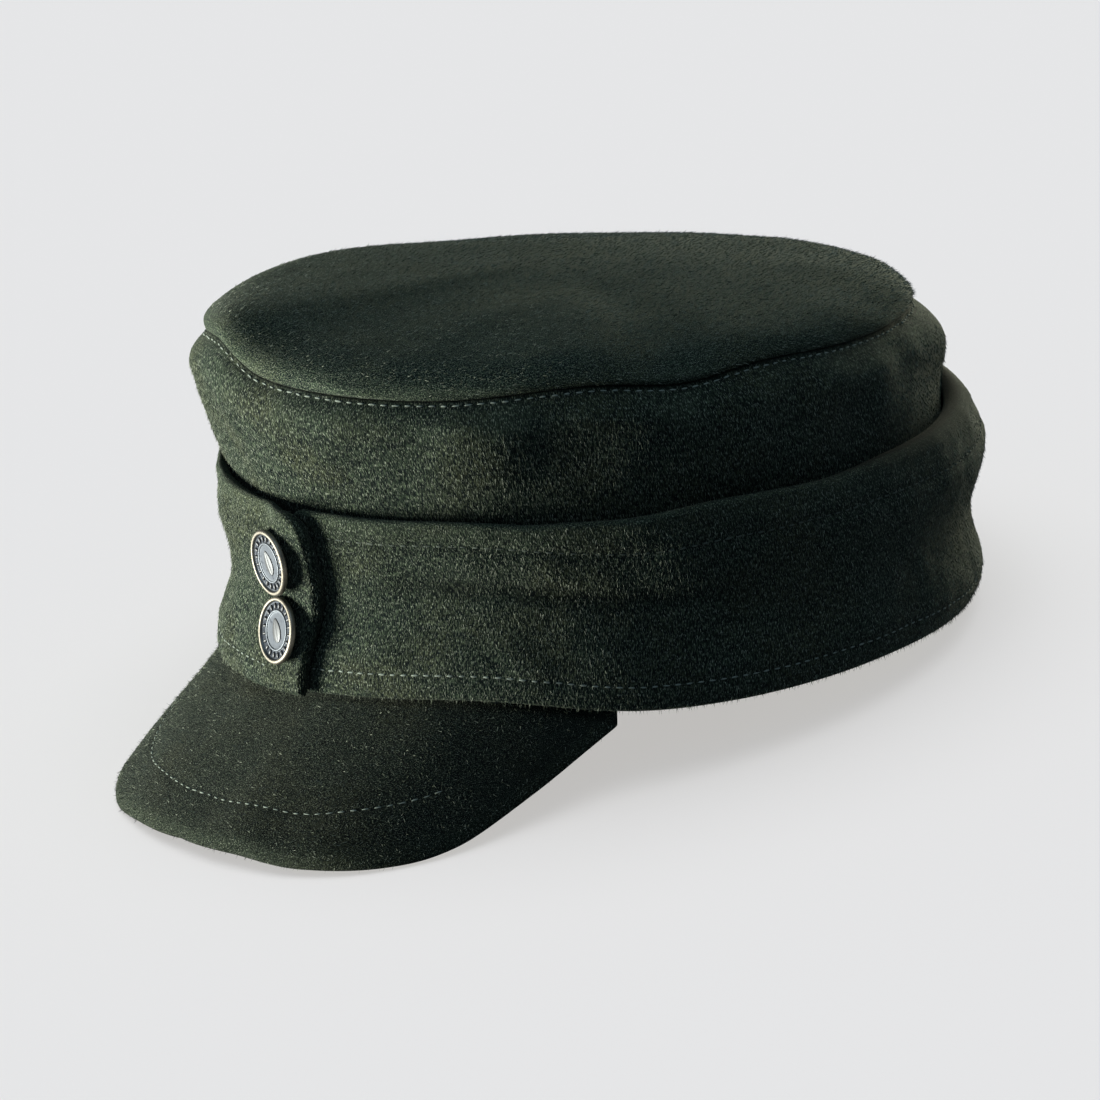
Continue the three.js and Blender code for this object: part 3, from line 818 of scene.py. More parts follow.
def grown(name, tree, mesh, values):
    """The mesh that a geometry tree makes from another one, with its named inputs set."""
    carrier = bpy.data.objects.new(name, mesh)
    bpy.context.scene.collection.objects.link(carrier)
    modifier = carrier.modifiers.new(name, "NODES")
    modifier.node_group = tree
    for item in tree.interface.items_tree:
        if item.in_out == "INPUT" and item.name in values:
            modifier[item.identifier] = values[item.name]
    carrier.update_tag()
    seen = carrier.evaluated_get(bpy.context.evaluated_depsgraph_get())
    result = bpy.data.meshes.new_from_object(seen)
    result.name = name
    bpy.data.objects.remove(carrier)
    return result


def stitch_tree():
    """Stitches at an even pitch along a line whose points carry the way out of the cloth."""
    nodes, given = new_tree("stitches", Pitch="Float", Length="Float", Width="Float", Thread="Material")
    line = nodes.wire("GeometryNodeMeshToCurve", None, {"Mesh": given["Geometry"]})
    even = {"Curve": line, "Length": given["Pitch"]}
    line = nodes.wire("GeometryNodeResampleCurve", {"mode": "LENGTH"}, even)
    thread = nodes.wire("GeometryNodeMeshUVSphere", None, {"Segments": 8, "Rings": 5, "Radius": 0.5})
    tangent = nodes.wire("GeometryNodeInputTangent")
    along = nodes.vector("ADD", tangent, nodes.drawn((-0.13, -0.13, -0.06), (0.13, 0.13, 0.06), 5))
    turn = nodes.facing(along, nodes.carried("out"))
    sides = {0: given["Length"], 1: given["Width"], 2: given["Width"]}
    size = nodes.wire("ShaderNodeCombineXYZ", None, sides)
    size = nodes.vector("MULTIPLY", size, nodes.drawn((0.8, 0.8, 0.6), (1.1, 1.15, 0.95), 6))
    real = nodes.copies(line, thread, turn, size)
    return nodes.end(nodes.dyed(nodes.smooth(real), given["Thread"]))


def nap_tree():
    """Loose fibres over a cloth whose points carry how thick the nap is and which way it lies."""
    numbers = dict.fromkeys(("Density", "Length", "Width", "Lift", "Spread"), "Float")
    dyes = dict.fromkeys(("Dark", "Middle", "Light"), "Material")
    nodes, given = new_tree("nap", **numbers, Seed="Int", **dyes)
    thick = Wire(nodes, given["Density"]) * nodes.carried("nap", "FLOAT")
    sown = nodes.node(
        "GeometryNodeDistributePointsOnFaces",
        {"distribute_method": "RANDOM"},
        {"Mesh": given["Geometry"], "Density": thick, "Seed": given["Seed"]},
    ).outputs
    out = nodes.vector("SCALE", sown["Normal"], given["Lift"])
    stray = nodes.vector("SCALE", nodes.drawn((-1, -1, -1), (1, 1, 1), given["Seed"]), given["Spread"])
    way = nodes.vector("ADD", nodes.vector("ADD", nodes.carried("lay"), out), stray)
    turn = nodes.facing(way, sown["Normal"], "ZX")
    root = Wire(nodes, given["Width"]) * 0.5
    cone = {"Vertices": 3, "Radius Top": 0.0, "Radius Bottom": root, "Depth": given["Length"]}
    sliver = nodes.wire("GeometryNodeMeshCone", {"fill_type": "NGON"}, cone)
    pick = nodes.wire("FunctionNodeRandomValue", {"data_type": "FLOAT"}, {2: 0.0, 3: 1.0, "Seed": 9}, 1)
    settings = {"data_type": "FLOAT", "domain": "POINT"}
    sockets = {"Geometry": sown["Points"], "Name": "pick", "Value": pick}
    marked = nodes.wire("GeometryNodeStoreNamedAttribute", settings, sockets)
    real = nodes.copies(marked, sliver, turn, nodes.drawn((0.6, 0.6, 0.4), (1.3, 1.3, 1.5), 8))
    picked = nodes.carried("pick", "FLOAT")
    dyed = nodes.dyed(real, given["Middle"])
    for limit, name in ((0.34, "Light"), (0.12, "Dark")):
        dyed = nodes.dyed(dyed, given[name], Selection=picked.math("LESS_THAN", picked, limit))
    return nodes.end(dyed)


def relief_tree():
    """Small bars set like spokes on a circle."""
    nodes, given = new_tree("relief", Count="Int", Radius="Float", Bar="Vector", Metal="Material")
    sockets = {"Vertices": given["Count"], "Radius": given["Radius"]}
    circle = nodes.wire("GeometryNodeMeshCircle", None, sockets)
    turn = nodes.facing(nodes.wire("GeometryNodeInputPosition"), (0, 0, 1))
    bead = nodes.wire("GeometryNodeMeshUVSphere", None, {"Segments": 10, "Rings": 6, "Radius": 0.5})
    real = nodes.copies(circle, bead, turn, given["Bar"])
    return nodes.end(nodes.dyed(nodes.smooth(real), given["Metal"]))


def peak_inset(share):
    """How far the peak's stitches lie from its edge, which is further towards its ends."""
    return PEAK_STITCH * (1 + 2 * np.abs(share) ** 3)


def peak_sewn(share):
    """1 where the peak's stitches run, and 0 near its ends."""
    return 1 - ease(np.abs(share), *PEAK_ROW_FADE)


def stitch_dip(distance, where):
    """Depth of the line that a row of stitches pulls into the cloth."""
    return 0.55 * MM * bell(distance, where, 1.1 * MM)


def side_skin(shape, angle, share, offset):
    """The crown's side, with its soft folds and the line of its stitches."""
    s = shape.s
    points = shape.side(angle, share, offset)
    free = ease(points[..., 2], s.curtain_height * 0.9, s.curtain_height * 1.25) * (1 - ease(share, 0.9, 1.0))
    soft = ripple(points, 42 * MM, 3) * 0.7 * MM + ripple(points, 17 * MM, 4) * 0.3 * MM
    down = (1 - share) * s.seam_height
    dip = stitch_dip(down, SEAM_STITCH) * (1 + 0.35 * ripple(points, 7 * MM, 5))
    puff = 0.5 * MM * bell(down, 8 * MM, 4 * MM) * (1 + 0.5 * ripple(points, 15 * MM, 6))
    for place, under, wide, high, out in zip(*SIDE_FORMS.values()):
        aside = (np.degrees(angle) - place + 180) % 360 - 180
        form = bell(aside, 0, wide) * bell(down, under * MM, high * MM)
        puff = puff + out * MM * form * (1 - ease(share, 0.93, 1))
    return shape.side(angle, share, offset + soft * free + puff - dip)


def top_skin(shape, angle, t, depth):
    """The crown's top, puffed at its seam and softly creased."""
    points = shape.top(angle, t, depth)
    soft = ripple(points, 40 * MM, 13) * 0.28 * MM + ripple(points, 15 * MM, 14) * 0.07 * MM
    rim = bell(t, 0.13, 0.09) * ripple(points, 24 * MM, 15) * 0.4 * MM
    front = FRONT_PUFF * bell(t, 0.15, 0.12) * bell(angle, 0.55, 0.5)
    away = (soft * ease(t, 0.1, 0.35) + rim + front) * ease(t, 0.0, 0.06)
    return shape.top(angle, t, depth - away)


def curtain_skin(shape, angle, height, across):
    """The curtain's outer face at across = 1 and its inner one at 0, with the lines of its stitches."""
    s = shape.s
    points = shape.curtain(angle, height, across * shape.curtain_cloth(angle))
    top = shape.curtain_height(angle)
    face = np.clip(across * 2 - 1, -1, 1)
    dips = stitch_dip(height, top - UPPER_STITCH) * (1 - ease(angle, TURN - 0.7, TURN - 0.5))
    dips = dips + stitch_dip(height, LOWER_STITCH) * (1 - ease(angle, TURN - 0.05, TURN))
    crease = CREASE_DEPTH * bell(height, CREASE_HEIGHT, 3.2 * MM) * within(angle, CREASE_SPAN)
    soft = ripple(points, 34 * MM, 23) * 0.45 * MM + ripple(points, 12 * MM, 24) * 0.2 * MM
    held = ease(height, 2 * MM, 8 * MM)
    closing = LAP_CLOSING * within(angle, LAP_SPAN) * ease(height, top - 13 * MM, top - 1 * MM)
    away = (np.abs(soft) * held - dips - crease) * np.maximum(face, 0)
    back = within(angle, LIP_SPAN) * ease(height, top - 17 * MM, top - 5 * MM)
    swell = np.maximum(0, shape.stand_off(angle, np.ones_like(back)) - 0.8 * s.curtain_gap) * back
    crest = 1.3 * swell * across * (1 - across)
    away = away - closing - swell * (1 - across)
    return shape.curtain(angle, height + crest, across * shape.curtain_cloth(angle) + away)


def peak_skin(shape, share, reach, depth):
    """The peak, a little uneven, with the line of its stitches."""
    angle = shape.s.peak_spread * share
    points = shape.peak(angle, reach, depth)
    long = shape.peak_length(share)
    soft = ripple(points, 24 * MM, 33) * 0.3 * MM * ease(reach, 2 * MM, 12 * MM)
    line = stitch_dip(reach, long - peak_inset(share)) * peak_sewn(share)
    upper = 1 - ease(depth, 0.0, shape.s.peak_cloth * 0.6)
    return shape.peak(angle, reach, depth + (line - soft) * upper)


def round_angles():
    """One angle for each column round the crown, with the seam of the columns at the back."""
    return np.linspace(np.pi, np.pi + TURN, ROUND_COLUMNS, endpoint=False)[:, None]


def lined(face, lining, depth):
    """Levels over a face and back along its lining, and how deep each of them lies."""
    return np.concatenate([face, lining])[None], np.repeat([0.0, depth], [len(face), len(lining)])[None]


class CapPiece:
    """What the operators share. Each makes its pieces in its own make."""

    bl_options = {"REGISTER", "UNDO"}

    def execute(self, context):
        self.sizes = context.scene.cap_sizes
        self.colours = context.scene.cap_colours
        self.shape = CapShape(self.sizes)
        self.standing = Standing(self.sizes)
        self.make(context)
        return {"FINISHED"}

    def above_floor(self, points):
        """0 on the floor, where loose fibres would stick through it, and 1 just above it."""
        return ease(self.standing.place(points)[..., 2], 0.8 * MM, 1.8 * MM)

    def cloth(self, part, stands_for, points, row, column, lay, marks, ring=True, bare=()):
        """Shows a piece of cloth, measured along a row and a column of its points. Its nap follows lay."""
        name = part + "_cloth"
        width, run, depth, rough = FINISHES[part]
        line = points[:, row]
        along = walk(np.vstack([line, line[:1]]) if ring else line)
        up = walk(np.vstack([points[column], points[column, :1]]))
        lay = lay / np.maximum(np.linalg.norm(lay, axis=-1, keepdims=True), 1e-6) + 0 * points
        marks["lay"] = self.standing.turn(lay)
        finish = cloth_finish(name, self.colours, width * MM, run * MM, depth, rough)
        mesh = shell(name, self.standing.place(points), along, up, finish, marks, ring, bare)
        show(name, mesh, "wool", stands_for)


class CAP_OT_crown_side(CapPiece, bpy.types.Operator):
    """Make the side of the crown"""

    bl_idname = "cap.crown_side"
    bl_label = "Crown Side"

    def make(self, context):
        s = self.sizes
        last = 1 - s.seam_gap / s.seam_height
        rise = np.concatenate([np.linspace(0, 0.78, 34), np.linspace(0.8, last, 40)])
        shares, offsets = lined(rise, np.linspace(last, 0, 16), -s.crown_cloth)
        angle = round_angles()
        points = side_skin(self.shape, angle, shares, offsets)
        down = (1 - shares) * s.seam_height + 0 * angle
        outer = (offsets == 0) + 0 * angle
        marks = {
            # Painted shade along the top seam and its stitches; paler below the seam, partly wear and partly a
            # painted highlight on the puff there.
            "painted_shade": bell(down, 0, 0.7 * MM) + 0.3 * bell(down, SEAM_STITCH, ROW_SHADE),
            "wear_and_highlight": 0.4 * bell(down, 6 * MM, 4 * MM) * (0.5 + 0.5 * ripple(points, 18 * MM, 7)),
            "nap": outer * ease(points[..., 2], 0.8 * s.curtain_height, 0.9 * s.curtain_height),
        }
        lay = points[:, 30:31] - points[:, 60:61]
        self.cloth("side", "crown_side", points, 40, 0, lay, marks)


class CAP_OT_crown_top(CapPiece, bpy.types.Operator):
    """Make the top of the crown"""

    bl_idname = "cap.crown_top"
    bl_label = "Crown Top"

    def make(self, context):
        over = np.concatenate([np.linspace(0, 0.3, 34), np.linspace(0.32, 1, 46)])
        levels, depths = lined(over, np.linspace(1, 0, 24), self.sizes.crown_cloth)
        angle = round_angles()
        points = top_skin(self.shape, angle, levels, depths)
        t = levels + 0 * angle
        marks = {
            # Painted shade at the seam; a paler ring near it, partly wear and partly a painted highlight on its
            # puff.
            "painted_shade": bell(t, 0, 0.015),
            "wear_and_highlight": 0.5 * bell(t, 0.16, 0.08) * (0.5 + 0.5 * ripple(points, 22 * MM, 17)),
            "nap": (depths == 0) * ease(t, 0.02, 0.08),
        }
        lay = np.array([np.cos(TOP_LAY), np.sin(TOP_LAY), 0])
        self.cloth("top", "crown_top", points, 0, 0, lay, marks, bare=(len(over) - 1,))


class CAP_OT_curtain(CapPiece, bpy.types.Operator):
    """Make the turned-up curtain, whose end is the tab"""

    bl_idname = "cap.curtain"
    bl_label = "Curtain"

    def section(self):
        """Round the curtain's cloth: shares of its height, of half its cloth on top, and of its way across."""
        bend = np.linspace(0, np.pi / 2, 7)
        foot = [(0, 1 - np.cos(b), 0.5 + 0.5 * np.sin(b)) for b in bend]
        wall = [(up, 1 - 2 * up, 1.0) for up in np.linspace(0, 1, 46)[1:-1]]
        lip = [(1, np.cos(b) - 1, 0.5 + 0.5 * np.sin(b)) for b in bend[::-1]]
        half = np.array(foot + wall + lip)
        return np.vstack([half, half[-2:0:-1] * (1, 1, -1) + (0, 0, 1)]).T[:, None]

    def make(self, context):
        s, shape = self.sizes, self.shape
        up, above, over = self.section()
        start, end, corner = shape.curtain_start, shape.curtain_end, shape.angle_at(s.tab_corner)
        edge = shape.angle_at(1.2 * MM)
        rounding = edge * (1 - np.cos(np.linspace(0, np.pi / 2, 7)))
        wall = np.linspace(start + edge, end - corner, 400)[1:]
        tip = np.linspace(end - corner, end - edge, 18)[1:-1]
        angle = np.concatenate([start + rounding, wall, tip, end - rounding[::-1]])[:, None]
        squeeze = np.minimum(1, np.minimum(angle - start, end - angle) / edge)
        squeeze = np.sqrt(np.maximum(0, 1 - (1 - squeeze) ** 2))
        into = np.clip(1 - (end - angle) / corner, 0, 1)
        high = shape.curtain_height(angle) - s.tab_corner * (1 - np.sqrt(1 - into**2))
        high -= UNDERLAP_DROP * (1 - ease(angle, *UNDERLAP_SLOPE))
        high += s.curtain_height * around(CURTAIN_EDGE, "raise", angle)
        near = ease(angle, end - shape.angle_at(3 * s.tab_recede), end)
        z = up * high + above * shape.curtain_cloth(angle) / 2
        turned = angle - shape.angle_at(s.tab_recede) * near * (1 - ease(z / s.curtain_height, 0, 0.6))
        across = 0.5 + (over - 0.5) * squeeze
        points = curtain_skin(shape, turned, z, across)
        from_top = high - z
        outer = ease(across, 0.5, 0.7)
        # Painted shade in the crease, along both stitch rows and on the inner face, and a painted shadow on the
        # lip at the back; paler at the upper edge, partly wear and partly a painted highlight.
        folded = bell(z, CREASE_HEIGHT, 2.4 * MM) * within(turned, CREASE_SPAN)
        lines = bell(z, LOWER_STITCH, ROW_SHADE) + bell(from_top, UPPER_STITCH, ROW_SHADE)
        shadowed = 0.8 * within(turned, LIP_SHADE_SPAN)
        shaded = (0.3 * lines + 0.75 * folded) * outer + (0.5 + shadowed) * (1 - outer)
        marks = {
            "painted_shade": shaded + shadowed * bell(from_top, 0, 4 * MM),
            "wear_and_highlight": 0.35 * bell(from_top, 2 * MM, 3 * MM) * outer,
            "nap": (0.08 + 0.8 * outer) * self.above_floor(points),
        }
        lay = points[:, 12:13] - points[:, 40:41]
        self.cloth("curtain", "curtain", points, 25, 200, lay, marks, ring=False)


class CAP_OT_peak(CapPiece, bpy.types.Operator):
    """Make the peak"""

    bl_idname = "cap.peak"
    bl_label = "Peak"

    def make(self, context):
        s, shape = self.sizes, self.shape
        at = np.linspace(-1, 1, 241)[:, None]
        share = np.sin(at * np.pi / 2)
        half_cloth = s.peak_cloth / 2
        long = np.maximum(shape.peak_length(share), 1.1 * half_cloth)
        bend = np.linspace(0, np.pi, 13)[None, 1:-1]
        run = np.linspace(0, 1, 44)[None]
        upper = -s.peak_root + (long - half_cloth + s.peak_root) * run
        edge = long - half_cloth * (1 - np.sin(bend))
        reach = np.concatenate([upper, edge, upper[:, ::-1]], 1)
        deep = half_cloth * (1 - np.cos(bend))
        depth = np.concatenate([0 * run, deep, 0 * run + s.peak_cloth], 1)
        narrow = 0.985
        thick = np.sqrt(np.clip(1 - (np.abs(at) - narrow) / (1 - narrow), 0, 1))
        depth = half_cloth + (depth - half_cloth) * np.where(np.abs(at) > narrow, thick, 1)
        points = peak_skin(shape, share, reach, depth)
        outer = 1 - ease(depth, half_cloth, 1.7 * half_cloth)
        # Painted shade along the stitch row and a painted shadow at the root under the curtain; paler at the
        # front edge, partly wear and partly a painted highlight.
        row = 0.35 * bell(reach, long - peak_inset(share), ROW_SHADE) * peak_sewn(share)
        marks = {
            "painted_shade": row + 0.6 * (1 - ease(reach, -1 * MM, 3 * MM)),
            "wear_and_highlight": 0.25 * bell(reach, long, 3 * MM) * outer,
            "nap": (0.1 + 0.9 * outer) * ease(reach, 0, 1 * MM) * self.above_floor(points),
        }
        lay = points[:, 50:51] - points[:, 10:11]
        self.cloth("peak", "peak", points, 30, 120, lay, marks, ring=False)


class CAP_OT_stitches(CapPiece, bpy.types.Operator):
    """Sew the rows of stitches on the crown, the curtain and the peak"""

    bl_idname = "cap.stitches"
    bl_label = "Stitches"

    def line(self, name, at, below):
        """A line through points on the cloth, whose way out is taken from points beneath them."""
        out = at - below
        out /= np.linalg.norm(out, axis=-1, keepdims=True)
        raised = self.standing.place(at + out * 0.1 * MM)
        mesh = bpy.data.meshes.new(name)
        mesh.from_pydata(raised, [(i, i + 1) for i in range(len(raised) - 1)], [])
        attribute = mesh.attributes.new("out", "FLOAT_VECTOR", "POINT")
        attribute.data.foreach_set("vector", self.standing.turn(out).ravel().astype(np.float32))
        return mesh

    def make(self, context):
        s, shape = self.sizes, self.shape
        full = np.linspace(0, TURN, 721)
        seam = 1 - SEAM_STITCH / s.seam_height
        outer = np.linspace(*LOWER_ROW, 721)
        upper = np.linspace(*UPPER_ROW, 681)
        share = np.linspace(*PEAK_ROW, 301)
        edge = shape.peak_length(share) - peak_inset(share)
        high = shape.curtain_height(upper) - UPPER_STITCH
        low = np.full_like(outer, LOWER_STITCH)
        rows = {
            "seam_stitches": [side_skin(shape, full, seam, depth) for depth in (0.0, -1 * MM)],
            "upper_stitches": [curtain_skin(shape, upper, high, across) for across in (1.0, 0.7)],
            "lower_stitches": [curtain_skin(shape, outer, low, across) for across in (1.0, 0.7)],
            "peak_stitches": [peak_skin(shape, share, edge, depth) for depth in (0.0, 1 * MM)],
        }
        tree = stitch_tree()
        thread = plain_finish("thread", self.colours.thread)
        quiet = plain_finish("quiet_thread", self.colours.quiet_thread)
        values = {"Pitch": s.stitch_pitch, "Length": s.stitch_length, "Width": s.stitch_width}
        for name, (at, below) in rows.items():
            values["Thread"] = quiet if name == "upper_stitches" else thread
            show(name, grown(name, tree, self.line(name, at, below), values), "wool")


class CAP_OT_nap(CapPiece, bpy.types.Operator):
    """Sow the loose fibres of the cloth"""

    bl_idname = "cap.nap"
    bl_label = "Nap"

    def make(self, context):
        s, colours = self.sizes, self.colours
        tree = nap_tree()
        soft = {"Roughness": 1.0, "Specular IOR Level": 0.05}
        values = {
            "Density": s.nap_density / MM**2,
            "Length": s.nap_length,
            "Width": s.nap_width,
            "Dark": plain_finish("dark_fibre", colours.wool_dark, soft),
            "Middle": plain_finish("middle_fibre", colours.fibre, soft),
            "Light": plain_finish("light_fibre", colours.fibre_light, soft),
        }
        for seed, (part, lift, spread) in enumerate(NAP_WAYS, FIRST_SEED):
            values.update(Lift=lift, Spread=spread, Seed=seed)
            cloth = bpy.data.objects[part + "_cloth"].data.copy()
            show(part + "_nap", grown(part + "_nap", tree, cloth, values), "wool")


class CAP_OT_buttons(CapPiece, bpy.types.Operator):
    """Make the two metal buttons"""

    bl_idname = "cap.buttons"
    bl_label = "Buttons"

    def frame_at(self, height):
        """Where a button sits: its x, y and way out, and its place on the tab."""
        shape = self.shape
        angle = TURN + shape.angle_at(self.sizes.button_offset)
        cloth = shape.curtain_cloth(angle)

        def face(turn, rise):
            return shape.curtain(np.float64(angle + turn), np.float64(height + rise), cloth)

        across = Vector(face(0.05, 0) - face(-0.05, 0)).normalized()
        up = Vector(face(0, 3 * MM) - face(0, -3 * MM)).normalized()
        out = across.cross(up).normalized()
        side = up.cross(out)
        turned = [Vector(self.standing.turn(np.array(axis))) for axis in (side, up, out)]
        frame = Matrix(turned).transposed().to_4x4()
        frame.translation = Vector(self.standing.place(face(0, 0)))
        return frame

    def ground(self):
        """Height of the ground of the relief over the tab."""
        return self.sizes.button_stand + self.sizes.button_thick * (1 - RELIEF_GROUND)

    def body(self, metal):
        """A turned button on its shank, with its face up."""
        s = self.sizes
        radius = s.button_width / 2
        steps = np.linspace(0, 1, 90)
        rows = dict(BUTTON_FACE, row=np.linspace(0, 1, len(BUTTON_FACE["out"])))
        out = radius * read(rows, "row", "out", steps)
        high = s.button_stand + s.button_thick * (1 - read(rows, "row", "deep", steps))
        back = s.button_stand
        shank = s.shank_width / 2
        foot = s.seam_gap - self.shape.curtain_cloth(TURN) - s.layer_gap
        out = np.concatenate([out, [shank * 1.3, shank, shank, shank, 0]])
        high = np.concatenate([high, [back + 0.1 * MM, back, back / 2, foot, foot]])
        turn = np.linspace(0, TURN, 128, endpoint=False)[:, None]
        points = np.stack([out * np.cos(turn), out * np.sin(turn), high + 0 * turn], -1)
        place = out / radius + 0 * turn
        recess = within(place, GROOVE_SPAN)
        marks = {
            "hollow": np.clip(recess + 0.55 * (1 - ease(place, 0.5, 0.58)) + (high < s.button_stand), 0, 1),
            "rim": ease(place, 0.84, 0.9) + 0 * turn,
        }
        u, v = np.linspace(0, TURN * radius, 129), walk(np.stack([out, high], -1))
        v = np.append(v, v[-1])
        return shell("button", points, u, v, metal, marks, bare=(len(out) - 1,))

    def leaf(self, metal):
        """A plain leaf with a smooth edge in low relief, in the middle of a button."""
        s = self.sizes
        long, wide = LEAF_LENGTH * s.button_width, LEAF_WIDTH * s.button_width
        along = np.linspace(0, 1, 61)[:, None]
        envelope = np.sin(np.pi * np.clip(along, 0, 1) ** 0.8) ** 0.7
        half = wide / 2 * envelope
        upper = np.linspace(-1, 1, 17)[None]
        across = np.concatenate([upper, upper[:, -2:0:-1]], 1)
        over = np.concatenate([np.ones(17), np.zeros(15)])[None]
        dome = LEAF_DOME * s.button_thick * (1 - across**2) * envelope
        vein = LEAF_VEIN * s.button_thick * bell(across, 0, 0.14)
        x = half * across
        y = long * (along - 0.5) + 0 * across
        z = self.ground() + over * (dome + LEAF_EDGE * s.button_thick - vein) + 0 * along
        points = np.stack([x, y, z], -1)
        u, v = walk(points[:, 8]), walk(np.vstack([points[30], points[30, :1]]))
        return shell("leaf", points, u, v, metal, ring=False)

    def make(self, context):
        s, shape = self.sizes, self.shape
        metal = metal_finish(self.colours)
        bright = plain_finish("bright_silver", self.colours.relief, {"Metallic": 1.0, "Roughness": 0.5})
        ring = relief_tree()
        bar = np.array(BAR_SIZE) * (s.button_width, s.button_width, s.button_thick)
        values = {"Count": BAR_COUNT, "Radius": BAR_RING * s.button_width, "Metal": bright}
        values["Bar"] = Vector(bar)
        angle = TURN + shape.angle_at(s.button_offset)
        middle = shape.curtain_height(angle) - s.button_drop
        shift = Matrix.Translation((BUTTON_SHIFT, 0, 0))
        lift = Matrix.Translation((0, 0, BUTTON_LIFT))
        level = Matrix.Translation((0, 0, self.ground()))
        leans = (("button_upper", 0.5, s.lean_upper, s.tip_upper), ("button_lower", -0.5, s.lean_lower, 0.0))
        for name, share, lean, tip in leans:
            leaning = Matrix.Rotation(-lean, 4, "Y") @ Matrix.Rotation(-tip, 4, "X")
            height = middle + BUTTON_SPREAD * s.button_spacing * share
            place = self.frame_at(height) @ shift @ leaning @ lift
            bars = grown(name + "_bars", ring, bpy.data.meshes.new(name), values)
            bars.transform(place @ level)
            leaf = self.leaf(bright)
            leaf.transform(place @ Matrix.Rotation(0.5, 4, "Z"))
            body = self.body(metal)
            body.transform(place)
            show(name + "_face", body, "button_metal", name)
            show(name + "_bars", bars, "button_metal")
            show(name + "_leaf", leaf, "button_metal")


def way(azimuth, height):
    """Direction in the cap's own frame: azimuth 0 is in front, and 90 degrees is the left ear's side."""
    return np.array([np.sin(azimuth) * np.cos(height), -np.cos(azimuth) * np.cos(height), np.sin(height)])


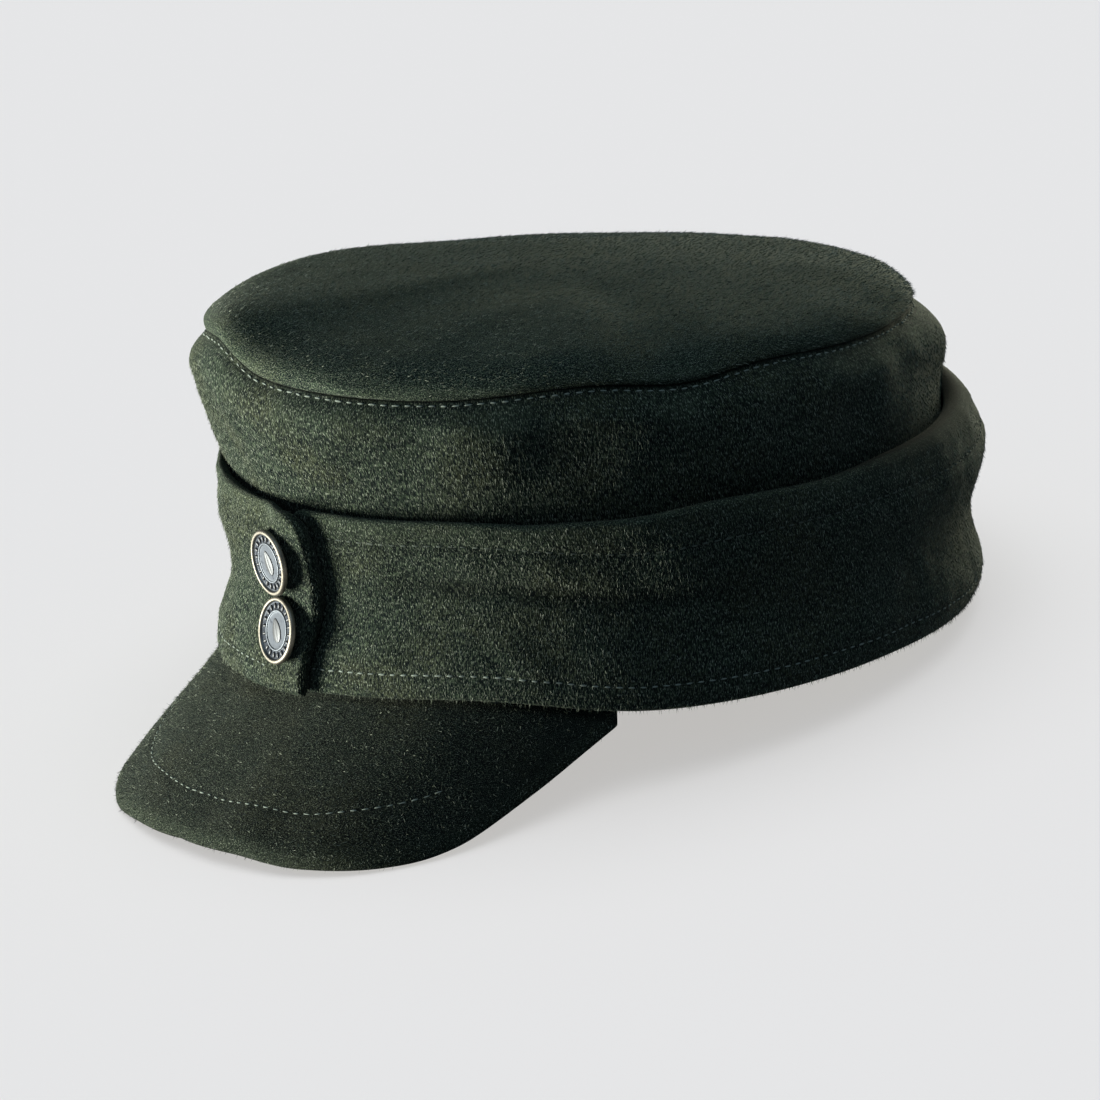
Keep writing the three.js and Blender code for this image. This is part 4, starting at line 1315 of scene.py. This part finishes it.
class CAP_OT_stage(CapPiece, bpy.types.Operator):
    """Set the floor, the lights and the camera"""

    bl_idname = "cap.stage"
    bl_label = "Stage"

    def aim(self, name, light, out, middle, lit, blocked):
        """Sets a light out from a middle and turns it there, on the things of one collection alone."""
        thing = bpy.data.objects.new(name, light)
        thing.location = middle + out
        thing.rotation_euler = (-out).to_track_quat("-Z", "Y").to_euler()
        thing.light_linking.receiver_collection = lit
        thing.light_linking.blocker_collection = blocked
        bpy.context.scene.collection.objects.link(thing)

    def lamp(self, name, azimuth, height, distance, size, power, colour, lit):
        light = bpy.data.lights.new(name, "AREA")
        light.shape = "DISK"
        light.size = size
        light.energy = power
        light.color = colour
        out = Vector(self.standing.turn(way(np.radians(azimuth), np.radians(height)))) * distance
        self.aim(name, light, out, Vector(LAMP_TARGET), lit, lit)

    def sun(self, name, strength, lit, blocked):
        light = bpy.data.lights.new(name, "SUN")
        light.energy = strength
        light.angle = SUN_WIDTH
        self.aim(name, light, Vector(SUN_PLACE), Vector(), lit, blocked)

    def floor(self, scene):
        mesh = bpy.data.meshes.new("floor")
        made = bmesh.new()
        bmesh.ops.create_circle(made, cap_ends=True, radius=FLOOR_RADIUS, segments=96)
        made.to_mesh(mesh)
        made.free()
        matt = {"Roughness": 1.0, "Specular IOR Level": 0.0}
        mesh.materials.append(plain_finish("floor", self.colours.floor, matt))
        floor = bpy.data.objects.new("floor", mesh)
        scene.collection.objects.link(floor)
        floor.visible_diffuse = False
        return floor

    def make(self, context):
        scene = context.scene
        scene.view_settings.view_transform = "Standard"
        cap_lit = bpy.data.collections.new("lit_cap")
        for thing in scene.objects:
            if thing.type == "MESH":
                cap_lit.objects.link(thing)
        floor_lit = bpy.data.collections.new("lit_floor")
        floor_lit.objects.link(self.floor(scene))
        for lamp in LAMPS:
            self.lamp(*lamp, cap_lit)
        for name, strength in FLOOR_SUNS.items():
            self.sun(name, strength, floor_lit, floor_lit if name == "floor_wash" else None)
        world = bpy.data.worlds.new("studio")
        world.use_nodes = True
        sky = world.node_tree.nodes["Background"].inputs
        sky["Color"].default_value = STUDIO_COLOUR
        sky["Strength"].default_value = STUDIO_STRENGTH
        scene.world = world
        self.camera(scene)

    def camera(self, scene):
        """The camera, set in the cap's own frame and turned with it."""
        back = way(CAMERA_AZIMUTH, CAMERA_HEIGHT)
        right = np.array([np.cos(CAMERA_AZIMUTH), np.sin(CAMERA_AZIMUTH), 0])
        up = np.cross(back, right)
        c, s = np.cos(CAMERA_ROLL), np.sin(CAMERA_ROLL)
        axes = np.array([c * right + s * up, c * up - s * right, back])
        world_axes = self.standing.turn(axes)
        lens = bpy.data.cameras.new("camera")
        lens.lens = CAMERA_LENS
        lens.sensor_width = 36
        lens.shift_x = 0.5 - RIM_MIDDLE_X / PHOTO_WIDTH
        lens.shift_y = RIM_MIDDLE_Y / PHOTO_WIDTH - 0.5
        camera = bpy.data.objects.new("camera", lens)
        scene.collection.objects.link(camera)
        placed = Matrix([Vector(axis) for axis in world_axes]).transposed().to_4x4()
        placed.translation = Vector(world_axes[2]) * CAMERA_DISTANCE - Vector(self.standing.shift)
        camera.matrix_world = placed
        scene.camera = camera


OPERATORS = (
    CAP_OT_crown_side,
    CAP_OT_crown_top,
    CAP_OT_curtain,
    CAP_OT_peak,
    CAP_OT_stitches,
    CAP_OT_nap,
    CAP_OT_buttons,
    CAP_OT_stage,
)


class CAP_PT_panel(bpy.types.Panel):
    """Lists the pieces of the cap"""

    bl_idname = "CAP_PT_panel"
    bl_label = "Forester's Cap"
    bl_space_type = "VIEW_3D"
    bl_region_type = "UI"
    bl_category = "Cap"

    def draw(self, context):
        for operator in OPERATORS:
            self.layout.operator(operator.bl_idname)
        for group in (context.scene.cap_sizes, context.scene.cap_colours):
            for name in group.__annotations__:
                self.layout.prop(group, name)


CLASSES = (CapSizes, CapColours, *OPERATORS, CAP_PT_panel)


def register():
    for made in CLASSES:
        bpy.utils.register_class(made)
    bpy.types.Scene.cap_sizes = PointerProperty(type=CapSizes)
    bpy.types.Scene.cap_colours = PointerProperty(type=CapColours)


def unregister():
    del bpy.types.Scene.cap_sizes
    del bpy.types.Scene.cap_colours
    for made in reversed(CLASSES):
        bpy.utils.unregister_class(made)


def main():
    register()
    for operator in OPERATORS:
        group, name = operator.bl_idname.split(".")
        getattr(getattr(bpy.ops, group), name)()


if __name__ == "__main__":
    main()
